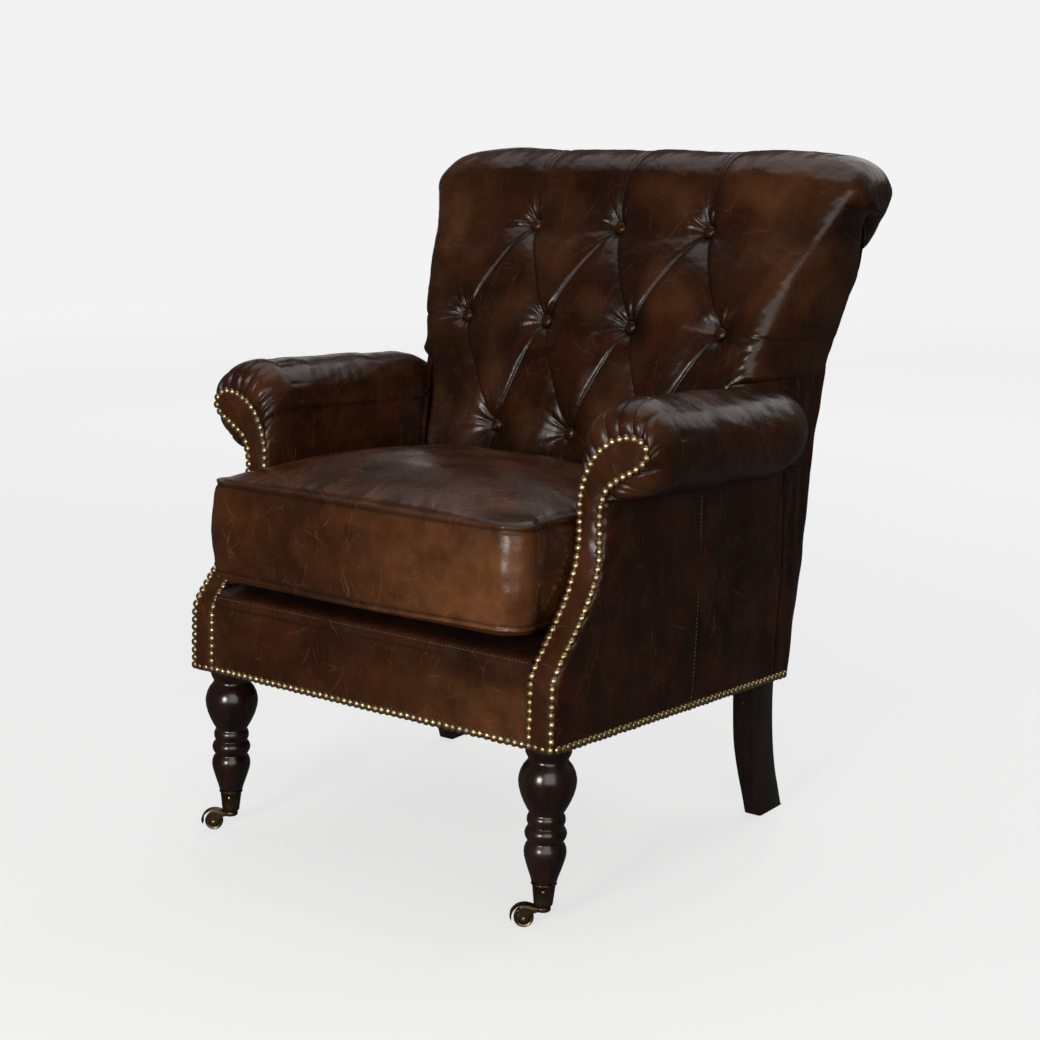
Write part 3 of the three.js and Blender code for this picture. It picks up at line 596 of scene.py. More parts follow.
def arm_surface(side):
    count = 300
    n, o = arm_curves(count)
    t = np.linspace(0, 1, count)
    on_roll = smooth(470, 560, o[:, 1]) + (t > 0.6)
    on_roll = np.clip(on_roll, 0, 1)
    start_y = front_y(np.minimum(n[:, 1], SCROLL_TOP_Z)) + 0.6
    start_y = np.where(t > 0.5, SCROLL_Y + 0.6, start_y)
    reach = 10 + 34 * on_roll
    bulge = 1.5 + 5.5 * on_roll
    rng = np.random.default_rng(11 if side > 0 else 12)
    pleat_at = np.linspace(0.40, 0.985, 19) + rng.uniform(-0.012, 0.012, 19)
    pleat_size = rng.uniform(0.45, 1.25, 19)
    columns = []
    marks_recess_shade, marks_wear = [], []
    front_steps = 26
    for k in range(front_steps + 1):
        a = (k / front_steps) * math.pi / 2
        p = n + (o - n) * math.sin(a)
        y = start_y + reach * (1 - math.cos(a)) - bulge * math.sin(2 * a)
        pucker = np.zeros(count)
        for i, (c, gain) in enumerate(zip(pleat_at, pleat_size)):
            wide = 0.0055 + 0.0025 * gain
            drift = 0.014 * math.sin(3 * i) * math.sin(a)
            off = (t - c - drift) / wide
            pucker += gain * np.exp(-np.abs(off) * np.where(off > 0, 1.6, 0.8))
        amount = 6.2 * math.sin(a + 0.12) ** 0.6 * math.cos(a) ** 0.9
        y = y + pucker * amount * on_roll
        columns.append(np.stack([p[:, 0], y, p[:, 1]], 1))
        # Painted shade in the gathers at the front of the roll and along the nail line.
        marks_recess_shade.append(0.55 * pucker * on_roll * math.cos(a) ** 2 + (0.7 if k == 0 else 0))
        marks_wear.append(0.35 * on_roll * math.sin(2 * a) * (0.5 + 0.5 * np.sin(37 * t)))
    edge_y = columns[-1][:, 1]
    back_steps = 110
    centre = np.array([ROLL[0], ROLL[1]])
    out = o - centre
    radial = out / np.maximum(np.linalg.norm(out, axis=1), 1)[:, None]
    inside_face = (o[:, 1] < ROLL[1] - 4) & (o[:, 0] < 300)
    radial[inside_face] = (-1.0, 0.0)
    arc = lengths(o)
    for k in range(1, back_steps + 1):
        v = k / back_steps
        y = edge_y + (ARM_REAR - 6 - edge_y) * v
        sag = 1.4 * lumps(arc, y, 150, 41 + side) + 0.4 * lumps(arc, y, 36, 43)
        sag += 1.1 * np.exp(-((y - 128) / 14) ** 2) * on_roll
        gathers = (pucker - pucker.mean()) * on_roll * np.exp(-(y - edge_y) / 26)
        p = o + radial * (sag * 0.8 - 1.7 * gathers)[:, None]
        # the roll is rounded off where it is drawn in behind the wing
        end = np.clip((y - (ARM_REAR - 96)) / 99, 0, 1)
        shrink = (on_roll * (1 - np.sqrt(1 - end**2)))[:, None]
        p = p * (1 - shrink) + centre * shrink
        columns.append(np.stack([p[:, 0], y, p[:, 1]], 1))
        marks_recess_shade.append(np.zeros(count))
        top = np.clip(radial[:, 1], 0, 1)
        marks_wear.append(0.22 * top * np.clip(lumps(arc, y, 120, 47), 0, 1) * on_roll)
    last = columns[-1]
    flat_part = ((o[:, 1] < 520) & (o[:, 0] < 300))[:, None]
    core = np.where(flat_part, np.stack([o[:, 0] + 14, o[:, 1]], 1), centre)
    for k in range(1, 7):
        a = k / 6 * math.pi / 2
        p = last.copy()
        shrink = 1 - math.cos(a)
        p[:, 0] = last[:, 0] * (1 - shrink) + core[:, 0] * shrink
        p[:, 2] = last[:, 2] * (1 - shrink) + core[:, 1] * shrink
        p[:, 1] = last[:, 1] + 6 * math.sin(a)
        columns.append(p)
        marks_recess_shade.append(np.zeros(count))
        marks_wear.append(np.zeros(count))
    grid = np.stack(columns, 1)
    marks = {"recess_shade": np.stack(marks_recess_shade, 1), "wear": np.stack(marks_wear, 1)}
    name = side_name(side)
    obj = sheet_object(f"{name}_arm_leather", grid, LEATHER, side, marks=marks, flip=True)
    stands_for(obj, "leather", f"{name}_arm_pad")


def facing(side):
    run = spline(SCROLL_RUN, 700)
    tip = np.argmax(run[:, 0])
    count = 220
    inner = resample(np.vstack([[(272, 226)], run[:tip + 1]]), count)
    outer = resample(np.vstack([[(304, 226)], run[:tip - 1:-1]]), count)
    centre = (inner + outer) / 2
    margin = 4.2
    spread = outer - inner
    size = np.maximum(np.linalg.norm(spread, axis=1), 1e-3)
    unit = spread / size[:, None]
    unit[-8:] = unit[-8]
    inner = inner - unit * margin
    outer = outer + unit * margin
    across = 20
    grid, recess_shade = [], []
    for j in range(across + 1):
        w = j / across
        p = inner * (1 - w) + outer * w
        y = front_y(np.minimum(p[:, 1], SCROLL_TOP_Z))
        y = np.where(p[:, 1] > SCROLL_TOP_Z, SCROLL_Y, y)
        puff = 1.6 * (1 - abs(2 * w - 1) ** 8) + 3.6 * (1 - abs(2 * w - 1) ** 2)
        y = y - puff - 0.5 * lumps(p[:, 0], p[:, 1], 40, 51)
        if j in (0, across):
            y = y + 3.5
        grid.append(np.stack([p[:, 0], y, p[:, 1]], 1))
        # Painted shade along both edges of the facing.
        recess_shade.append(np.full(count, 0.5 if j in (0, across) else 0.0))
    grid = np.stack(grid, 1)
    name = side_name(side)
    marks = {"recess_shade": np.stack(recess_shade, 1), "wear": 0.15 * np.ones(grid.shape[:2])}
    obj = sheet_object(f"{name}_facing_leather", grid, LEATHER, side, marks=marks)
    stands_for(obj, "leather", f"{name}_arm_facing")


def panel(name, node, rows, columns, place, material=LEATHER, slot="leather", side=1, flip=False,
          wear=None, recess_shade=None):
    """A panel from place(u, v) -> (x, y, z), u up and v along."""
    u = np.linspace(0, 1, rows)[:, None] * np.ones((1, columns))
    v = np.linspace(0, 1, columns)[None, :] * np.ones((rows, 1))
    x, y, z = place(u, v)
    grid = np.stack([x + 0 * u, y + 0 * u, z + 0 * u], -1)
    none = np.zeros_like(u)
    marks = {"wear": wear(u, v) if wear else none, "recess_shade": recess_shade(u, v) if recess_shade else none}
    obj = sheet_object(name, grid, material, side, marks=marks, flip=flip)
    stands_for(obj, slot, node)
    return obj


def edge_round(u, width):
    """0 in the middle, rising to 1 at both ends of u over a width."""
    d = np.minimum(u, 1 - u) / width
    d = np.clip(d, 0, 1)
    return 1 - np.sqrt(1 - (1 - d) ** 2)


def side_panels(side):
    name = side_name(side)

    def top(y):
        return PANEL_TOP_Z + (y - SCROLL_Y) * 0.012

    def rear_seam(u):
        return REAR_SEAM + 6 * np.sin(3 * u)

    def front_place(u, v):
        z0 = BASE_BOTTOM
        z = z0 + (top(200) - z0) * u
        y0 = front_y(z) - 1.0
        y = y0 + (SPLIT_Y - y0) * v
        x = BASE_HALF + 1.0 + 3.0 * np.sin(math.pi * u) - 3.5 * edge_round(v, 0.03) * (v > 0.5)
        x = x - 4 * edge_round(v, 0.035) * (v < 0.5) - 3 * edge_round(u, 0.03) * (u < 0.5)
        scroll = np.interp(z, (420, 470, 495, 521), (0, 5, 8, 6))
        x = x - scroll * np.exp(-(y - y0) / 9)
        x = x + 1.3 * lumps(z, 0.3 * y, 24, 69) * np.exp(-(y - y0) / 16)
        return x + 0.8 * lumps(y, z, 130, 61 + side), y, z

    def rear_place(u, v):
        z = BASE_BOTTOM + (top(300) - BASE_BOTTOM) * u
        y1 = along(OUTSIDE_BACK, z) + 4
        y = SPLIT_Y + (y1 - SPLIT_Y) * v
        x = BASE_HALF + 1.0 + 3.0 * np.sin(math.pi * u) - 3.5 * edge_round(v, 0.03) * (v < 0.5)
        x = x - 1.5 * edge_round(v, 0.03) * (v > 0.5) - 3 * edge_round(u, 0.03) * (u < 0.5)
        x = x - 2.4 * np.exp(-((y - rear_seam(u)) / 2.2) ** 2)
        x = x + 1.0 * lumps(y * 2, z * 0.4, 70, 65) * smooth(REAR_SEAM - 30, REAR_SEAM, y)
        return x + 0.8 * lumps(y, z, 130, 63 + side), y, z

    # Painted shade along each panel's seams and its bottom edge.
    def front_seam_shade(u, v):
        return 0.8 * np.exp(-((1 - v) / 0.008) ** 2) + 0.4 * np.exp(-(u / 0.01) ** 2)

    def rear_seam_shade(u, v):
        z = BASE_BOTTOM + (top(300) - BASE_BOTTOM) * u
        y = SPLIT_Y + (along(OUTSIDE_BACK, z) + 4 - SPLIT_Y) * v
        rear = np.exp(-((y - rear_seam(u)) / 1.6) ** 2)
        return np.maximum(rear, 0.8 * np.exp(-(v / 0.008) ** 2) + 0.4 * np.exp(-(u / 0.01) ** 2))

    panel(f"{name}_outside_arm_front", f"{name}_outside_arm_front_panel", 110, 120, front_place, side=side,
          recess_shade=front_seam_shade)
    panel(f"{name}_outside_arm_rear", f"{name}_outside_arm_rear_panel", 90, 100, rear_place, side=side,
          recess_shade=rear_seam_shade)


def rear_corner(side):
    """The wing's leather carried down behind the arm, which butts against it."""
    rows, columns = 60, 60
    low, high, round_width = 470, 662, 54
    u = np.linspace(0, 1, rows)[:, None] * np.ones((1, columns))
    theta = np.linspace(0, 1, columns)[None, :] * np.ones((rows, 1)) * math.pi / 2
    z = low + (high - low) * u
    y0 = np.interp(z, (450, 544, 625, 706), (403, 414, 430, 450)) + 3
    y1 = along(OUTSIDE_BACK, z) + 3
    half = BASE_HALF - 1.0 + 7.5 * smooth(low, high, z)
    x = half - round_width + round_width * np.sin(theta)
    y = y0 + (y1 - y0) * (1 - np.cos(theta))
    x = x + 1.5 * lumps(y * 2.2, z * 0.5, 60, 67) * np.sin(theta)
    obj = sheet_object(f"{side_name(side)}_rear_corner_leather", np.stack([x, y, z], -1), LEATHER, side)


def outside_back():
    top = 838

    def place(u, v):
        z = BASE_BOTTOM + (top - BASE_BOTTOM) * u
        half = np.where(z < 652, BASE_HALF + 1, along(WING_HALF, np.maximum(z, 668)) - 1)
        half = BASE_HALF + 1 + (half - BASE_HALF - 1) * smooth(640, 700, z) - 10 * smooth(790, top, z)
        x = (2 * v - 1) * half
        bulge = 4 * np.sin(math.pi * v) * np.sin(math.pi * u)
        y = along(OUTSIDE_BACK, z) + 5 + bulge - 6 * edge_round(v, 0.02)
        return x, y + 0.8 * lumps(x, z, 160, 71), z

    # Painted shade along both side seams.
    def seam_shade(u, v):
        return 0.6 * (np.exp(-(v / 0.008) ** 2) + np.exp(-((1 - v) / 0.008) ** 2))

    panel("outside_back_leather", "outside_back_panel", 150, 150, place, flip=True, recess_shade=seam_shade)


def front_border():
    line = spline([(-0.5, 226), (-1.5, 250), (-2.5, 280), (-1.5, 308), (0.5, 322), (2.5, 328), (3.0, 329.5),
                   (5, 333), (16, 338), (34, 344), (60, 352)], 90)

    def place(u, v):
        y = np.interp(u, np.linspace(0, 1, len(line)), line[:, 0])
        z = np.interp(u, np.linspace(0, 1, len(line)), line[:, 1])
        x = (2 * v - 1) * 268.5
        bow = 2.0 * np.sin(math.pi * v) * smooth(300, 340, z)
        return x, y - 0.7 * lumps(x, z, 110, 81) * smooth(228, 250, z), z + bow

    # Painted shade along the stitched seam, and over the border's top where it runs in under the cushion.
    def seam_shade(u, v):
        return np.maximum(np.exp(-((u - 0.555) / 0.008) ** 2) * 0.9, 0.85 * smooth(0.60, 0.74, u))

    # Paler towards the right end and towards the bottom of the border.
    def pale_amount(u, v):
        return 0.45 * smooth(0.35, 0.95, v) * smooth(0.0, 0.2, 0.5 - u) + 0.1

    panel("front_border_leather", "front_border", 90, 260, place, recess_shade=seam_shade, wear=pale_amount)


# ---------------------------------------------------------------- cushion and deck

def cushion():
    half = 262.0
    front, rear = -22.0, 391.0
    low_seam, top_seam, bottom, crown = 368.0, 494.0, 358.0, 541.0
    side_steps = 64

    def outline(count, inset):
        """One round of the boxed side, as (x, y), starting at the middle of the back."""
        w, f, r = half - inset, front + inset, rear - inset
        corner = 34.0
        pts = []
        for cx, cy, a0 in ((w - corner, r - corner, 90), (w - corner, f + corner, 0),
                           (-w + corner, f + corner, -90), (-w + corner, r - corner, -180)):
            for k in range(13):
                a = math.radians(a0 - 90 * k / 12)
                pts.append((cx + corner * math.cos(a), cy + corner * math.sin(a)))
        pts = [(0, r)] + pts + [(0, r)]
        return resample(np.array(pts), count)

    count = 760
    ring = outline(count + 1, 0)[:-1]
    centre = np.array([0, (front + rear) / 2])
    rings, recess_shade, wear = [], [], []

    def add(outline_points, z, dark, pale_amount):
        rings.append(np.column_stack([outline_points, z * np.ones(count)]))
        recess_shade.append(dark * np.ones(count))
        wear.append(pale_amount * np.ones(count))

    step = lengths(np.vstack([ring, ring[:1]]))[:-1]
    facing_front = smooth(front + 60, front, ring[:, 1])
    right = smooth(-150, 240, ring[:, 0])
    # between the arms the cushion is held in a little
    between = smooth(5, 40, ring[:, 1])
    squeeze = np.sign(ring[:, 0]) * np.maximum(np.abs(ring[:, 0]) - 255.5, 0) * between
    ring = ring - np.column_stack([squeeze, np.zeros(count)])
    outward = ring - centre
    outward /= np.linalg.norm(outward, axis=1)[:, None]
    # underside, from its middle out
    under_steps = 14
    for k in range(under_steps):
        t = (k + 0.02) / under_steps
        add(centre + (ring - centre) * t * 0.965, bottom + 2 * t, 0, 0)
    drop = 5.0 * np.exp(-(ring[:, 0] / 150) ** 2) * facing_front
    for k in range(6):
        t = k / 5
        z = bottom + 2 + (low_seam - bottom - 2) * t**1.6 - drop * t
        inset = 12.0 * (1 - math.sin(t * math.pi / 2))
        add(ring - outward * inset, z, 0, 0.1)
    # boxed side, swelling between its two welts
    for k in range(side_steps + 1):
        t = k / side_steps
        near = min(t, 1 - t)
        swell = 7.5 * math.sin(math.pi * t) ** 0.8
        z = low_seam + (top_seam - low_seam) * t - drop * (1 - t)
        wave = 1.3 * lumps(step, 110 * t + 0 * step, 60, 91) * math.sin(math.pi * t)
        wave += 0.5 * lumps(step, 300 * t + 0 * step, 26, 93) * math.exp(-near / 0.12)
        welt = 1.6 * math.exp(-(near / 0.022) ** 2) - 1.7 * math.exp(-((near - 0.05) / 0.022) ** 2)
        p = ring + outward * (swell + wave + welt)[:, None]
        # Paler on the faces towards the front, more so towards the right and towards the bottom.
        pale_amount = facing_front * (0.03 + 0.97 * right**1.6) * (1 - 0.6 * t) + 0.06
        # Painted shade in the groove beside each welt of the boxed side.
        add(p, z, 0.8 * math.exp(-((near - 0.045) / 0.014) ** 2), pale_amount)
    # crowned top, from the welt in to the middle
    top_steps = 110
    for k in range(1, top_steps + 1):
        t = k / top_steps
        p = ring * (1 - t) + centre * t
        across = np.clip(np.abs(p[:, 0]) / half, 0, 1)
        deep = np.clip(np.abs(p[:, 1] - centre[1]) / ((rear - front) / 2), 0, 1)
        rise = (crown - top_seam) * ((1 - across**2.6) * (1 - deep**2.6)) ** 0.85
        welt = -2.2 * math.exp(-((t - 0.02) / 0.012) ** 2)
        ripple = lumps(p[:, 0], p[:, 1], 170, 95) * 1.5 * math.sin(math.pi * min(t, 1)) ** 0.5
        pulls = 0.9 * lumps(step, 90 * t + 0 * step, 40, 97) * math.exp(-t / 0.07) * smooth(0.0, 0.03, t)
        z = top_seam + rise + welt + ripple + pulls
        grey = 0.22 * np.clip(lumps(p[:, 0], p[:, 1], 120, 99), 0, 1)
        grey = grey + 0.10 * facing_front * math.exp(-t / 0.1)
        # Painted shade in the groove just inside the top welt.
        add(p, z, 0.6 * math.exp(-((t - 0.02) / 0.012) ** 2), grey)
    g = np.stack(rings, 0)
    obj = sheet_object("seat_cushion_leather", g, LEATHER_SEAT, wrap=True, flip=True,
                       marks={"recess_shade": np.stack(recess_shade, 0), "wear": np.stack(wear, 0)}, body="seat_cushion")
    stands_for(obj, "leather", "seat_cushion")


def seat_deck():
    def place(u, v):
        x = (2 * u - 1) * 255
        y = 60 + (394 - 60) * v
        dome = (1 - (2 * u - 1) ** 8) * (1 - (2 * v - 1) ** 8)
        return x, y, 344 + 10 * dome

    obj = panel("seat_deck_cloth", "seat_deck_pad", 60, 50, place, CLOTH, "deck_cloth", flip=True)


def dust_cover():
    """Black cloth tacked up under the rails, sagging a little in the middle."""
    node = frame["nodes"]["dust_cover"]
    to_body = BODY.inverted() @ node.matrix_world
    corners = np.array([to_body @ v.co for v in node.data.vertices])
    low, high = corners.min(0), corners.max(0)
    rows, columns = 70, 80
    v = np.linspace(0, 1, rows)[:, None] * np.ones((1, columns))
    u = np.linspace(0, 1, columns)[None, :] * np.ones((rows, 1))
    x = low[0] + (high[0] - low[0]) * u
    y = low[1] + (high[1] - low[1]) * v
    sag = (1 - (2 * u - 1) ** 4) * (1 - (2 * v - 1) ** 4)
    z = high[2] - 0.5 - 3.5 * sag - 0.25 * lumps(x, y, 60, 111) * sag
    obj = sheet_object("dust_cover_cloth", np.stack([x, y, z], -1), CLOTH, flip=True)
    thick = obj.modifiers.new("thickness", "SOLIDIFY")
    thick.thickness = 0.0008
    thick.offset = 0
    stands_for(obj, "deck_cloth", "dust_cover")


# ---------------------------------------------------------------- nails

def nail_mesh(name, node, points):
    """Domed nail heads at (point, normal) pairs in body coordinates."""
    verts, faces = [], []
    segments = 14
    rings = [(1.0, -1.2), (1.0, 0.25), (0.94, 1.1), (0.78, 1.95), (0.52, 2.65), (0.24, 3.05)]
    for p, nrm in points:
        nrm = Vector(nrm).normalized()
        a = nrm.orthogonal().normalized()
        b = nrm.cross(a)
        tip = RNG.normal(0, 0.05, 2)
        axis = (nrm + a * tip[0] + b * tip[1]).normalized()
        base = Vector(p) + a * RNG.normal(0, 0.22) + b * RNG.normal(0, 0.22)
        r0 = NAIL_R * (1 + RNG.normal(0, 0.02))
        start = len(verts)
        for r, h in rings:
            for k in range(segments):
                t = 2 * math.pi * k / segments
                verts.append(base + (a * math.cos(t) + b * math.sin(t)) * r * r0 + axis * h)
        verts.append(base + axis * 3.2)
        faces += grid_faces(len(rings), segments, True, start)
        last = start + (len(rings) - 1) * segments
        top = len(verts) - 1
        faces += [[last + k, last + (k + 1) % segments, top] for k in range(segments)]
    stands_for(new_object(name, verts, faces, NAIL_BRASS), "aged_brass", node)


def nails():
    front = [((x, -2.6, NAIL_Z), (0, -1, 0)) for x in np.linspace(-304, 304, FRONT_NAILS)]
    nail_mesh("front_nails", "front_nail_row", front)
    run = spline(SCROLL_RUN, 1600)
    y = np.where(run[:, 1] > SCROLL_TOP_Z, SCROLL_Y, front_y(run[:, 1]))
    path = np.column_stack([run[:, 0], y, run[:, 1]])
    count = int(round(lengths(path)[-1] / NAIL_PITCH)) + 1
    path = resample(path, count)
    for side, name in SIDES:
        points = []
        for x, py, z in path:
            slope = 0.0
            if z < SCROLL_TOP_Z + 5:
                slope = (front_y(min(z + 3, SCROLL_TOP_Z)) - front_y(min(z - 3, SCROLL_TOP_Z))) / 6
            normal = Vector((0, -1, slope)).normalized()
            p = Vector((side * x, py, z)) + normal * 2.9
            points.append((p, normal))
        nail_mesh(f"{name}_arm_nails", f"{name}_arm_nail_row", points)
        side_x = side * (BASE_HALF + 2.2)
        row = [((side_x, at, NAIL_Z), (side, 0, 0)) for at in np.linspace(7, 540, SIDE_NAILS)]
        nail_mesh(f"{name}_side_nails", f"{name}_side_nail_row", row)


def stitches(name, points, normal, length=3.6, pitch=5.4):
    """A row of waxed thread stitches along a line of points, lying on the leather."""
    line = resample(points, max(2, int(lengths(points)[-1] / pitch)))
    way = np.gradient(line, axis=0)
    verts, faces = [], []
    up = Vector(normal).normalized()
    for p, d in zip(line, way):
        d = Vector(d).normalized()
        across = d.cross(up).normalized()
        start = len(verts)
        for at, size in ((-0.5, 0.25), (-0.32, 0.9), (0.0, 1.0), (0.32, 0.9), (0.5, 0.25)):
            for k in range(6):
                a = math.pi * k / 3
                rim = (across * math.cos(a) + up * math.sin(a)) * 0.5 * size
                verts.append(Vector(p) + d * at * length + rim)
        faces += grid_faces(5, 6, True, start)
        faces += [[start + k for k in range(6)][::-1], [start + 24 + k for k in range(6)]]
    obj = new_object(name, verts, [f[::-1] for f in faces], THREAD)


def all_stitches():
    x = np.linspace(-262, 262, 60)
    bow = 2.0 * np.cos(x / 262 * math.pi / 2)
    stitches("front_border_stitches", np.column_stack([x, 2.2 + 0 * x, 329.6 + bow * 0.2]), (0, -1, 0.4))
    for side, name in SIDES:
        z = np.linspace(236, 512, 50)
        lean = BASE_HALF + 1.2 + 3.0 * np.sin(math.pi * (z - 225) / 298) - 0.6
        run = np.column_stack([side * lean, SPLIT_Y - 3.5 + 0 * z, z])
        stitches(f"{name}_arm_stitches", run, (side, 0, 0))


# ---------------------------------------------------------------- legs and casters

LEG_PROFILE = [
    (0.05, 224), (28.2, 224), (28.6, 221), (28.6, 216), (27.2, 212.5), (25.2, 209), (24.8, 206.4),
    (26.4, 203.6), (30.5, 198.5), (33.9, 191.5), (35.7, 184), (36, 179.5), (35.2, 172), (32.6, 162.5),
    (28.9, 153.5), (25, 146), (21.6, 140.2), (20.9, 138.6), (22.6, 136.9), (23.7, 134), (24, 131),
    (23.7, 128), (22.6, 125.1), (21.4, 123.4), (21.6, 122.4), (23.8, 120.4), (25.5, 117.2),
    (26.2, 113.6), (25.4, 109.4), (23.4, 105.8), (21.8, 103.9), (22.2, 102.4), (24.4, 99.2), (26, 94.4),
    (26.4, 89.5), (25.6, 83.5), (23.2, 75), (20.2, 66), (17.4, 58), (15.5, 51), (13.6, 50.6),
    (12.4, 49), (9.4, 27.6), (0.05, 27.6),
]
CUP_PROFILE = [
    (4.4, 21.6), (10.9, 21.6), (11.6, 22.2), (12.0, 24.5), (12.6, 30), (14.6, 48), (15.9, 48.6), (16.2, 49.4),
    (15.9, 50.3), (14.9, 50.6), (13.4, 50.0), (13.0, 47), (10.2, 26.6), (4.4, 26.4), (4.4, 21.6),
]


def round_off(profile, per=4):
    """A finer profile, curved smoothly through the given points."""
    return spline(profile, len(profile) * per)


def front_legs():
    for side, name in SIDES:
        spot = BODY @ Matrix.Translation((side * 273.0, 38.0, 0))
        leg = lathe_object(f"{name}_front_leg_turning", LEG_PROFILE[::-1], 72, DARK_WOOD, spot)
        stands_for(leg, "dark_wood", f"{name}_front_leg")
        cup = lathe_object(f"{name}_caster_cup_brass", CUP_PROFILE, 56, CASTER_BRASS, spot)
        stands_for(cup, "aged_brass", f"{name}_caster_cup")
        screw = [(0.05, 0), (2.1, 0), (2.0, 0.7), (1.3, 1.2), (0.05, 1.4)]
        turn = Matrix.Rotation(math.radians(35), 4, "Z")
        at = spot @ turn @ Matrix.Translation((0, -14.1, 42)) @ Matrix.Rotation(math.radians(97), 4, "X")
        pin = lathe_object(f"{name}_cup_screw", screw, 18, NAIL_BRASS, at)


def rear_legs():
    """Each rear leg and its back post in one length, from front and rear outlines as (y, z)."""
    front_leg = [(521, 18), (508, 52), (494.5, 90), (483, 135), (476.5, 185), (474, 228)]
    front_post = [(474, 300), (532, 430), (548, 590), (576, 760), (604, 860)]
    rear_leg = [(583, 18), (570, 52), (555.5, 90), (545, 135), (539, 185), (538, 228)]
    rear_post = [(541, 300), (570, 500), (579, 640), (603, 760), (632, 860)]
    front = np.vstack([spline(front_leg, 50), spline(front_post, 30)])
    rear = np.vstack([spline(rear_leg, 50), spline(rear_post, 30)])
    floor = lambda y: -7 + (y - 38) * math.tan(RAKE)
    for side, name in SIDES:
        rings = []
        for (y0, z0), (y1, z1) in zip(front, rear):
            hidden = float(smooth(228, 300, z0))
            inner = 266 + 4 * float(smooth(150, 40, z0)) + 11 * hidden
            outer = 296.0 + 6 * hidden
            bevel = 3.2
            ring = []
            corners = ((inner, y0, z0, 1, 1), (outer, y0, z0, -1, 1),
                       (outer, y1, z1, -1, -1), (inner, y1, z1, 1, -1))
            for i, (cx, cy, cz, dx, dy) in enumerate(corners):
                steps = [(0, 1), (0.3, 0.3), (1, 0)] if i % 2 == 0 else [(1, 0), (0.3, 0.3), (0, 1)]
                for fx, fy in steps:
                    y = cy + dy * bevel * fy
                    ring.append((cx + dx * bevel * fx, y, max(cz, floor(y))))
            rings.append(ring)
        rings = np.array(rings) * (side, 1, 1)
        leg = ring_solid(f"{name}_rear_leg_wood", rings, DARK_WOOD, reverse=side < 0)
        stands_for(leg, "dark_wood", f"{name}_rear_leg_and_post")
        plug = [(0.05, 0), (3.0, 0), (2.8, 0.35), (0.05, 0.5)]
        at = BODY @ Matrix.Translation((side * 283.0, 475.6, 196)) @ Matrix.Rotation(math.radians(90), 4, "X")
        dot = lathe_object(f"{name}_leg_plug", plug, 18, PLUG_WOOD, at)


def casters():
    for name in ("left", "right"):
        body = f"{name}_caster"
        spin = [j for j in frame["joints"] if j["name"] == f"{name}_wheel_spin"][0]
        hub = Vector(spin["pos_m"])
        axis = Vector(spin["axis"]).normalized()
        swivel = [j for j in frame["joints"] if j["name"] == f"{name}_caster_swivel"][0]
        post = Vector((swivel["pos_m"][0], swivel["pos_m"][1], 0))
        to_hub = Vector((hub.x - post.x, hub.y - post.y, 0)).normalized()
        # local x runs from the post to the wheel, local y along the axle
        if to_hub.x * axis.y - to_hub.y * axis.x < 0:
            axis = -axis
        local = Matrix((
            (to_hub.x, axis.x, 0, post.x), (to_hub.y, axis.y, 0, post.y), (0, 0, 1, 0), (0, 0, 0, 1)))
        local = local @ Matrix.Scale(MM, 4)
        horn(name, body, local)
        wheel_profile = [
            (2.3, -4), (6.4, -4), (7.0, -3.6), (7.6, -2.9), (9.9, -2.9), (10.6, -3.7), (11.6, -4),
            (12.2, -3.5), (12.5, -2.2), (12.5, 2.2), (12.2, 3.5), (11.6, 4), (10.6, 3.7), (9.9, 2.9),
            (7.6, 2.9), (7.0, 3.6), (6.4, 4), (2.3, 4), (2.3, -4)]
        at = local @ Matrix.Translation((24, 0, 12.5)) @ Matrix.Rotation(math.radians(90), 4, "X")
        wheel = lathe_object(f"{name}_wheel_brass", wheel_profile, 48, CASTER_BRASS, at, f"{name}_wheel")
        stands_for(wheel, "aged_brass", f"{name}_caster_wheel")
        pin_profile = [(0.05, -8.8), (1.6, -8.7), (2.4, -8.2), (2.5, -7.6), (2.0, -7.4), (2.0, 7.4),
                       (2.5, 7.6), (2.4, 8.2), (1.6, 8.7), (0.05, 8.8)]
        pin = lathe_object(f"{name}_axle_brass", pin_profile, 20, NAIL_BRASS, at, body)
        stands_for(pin, "aged_brass", f"{name}_caster_axle")


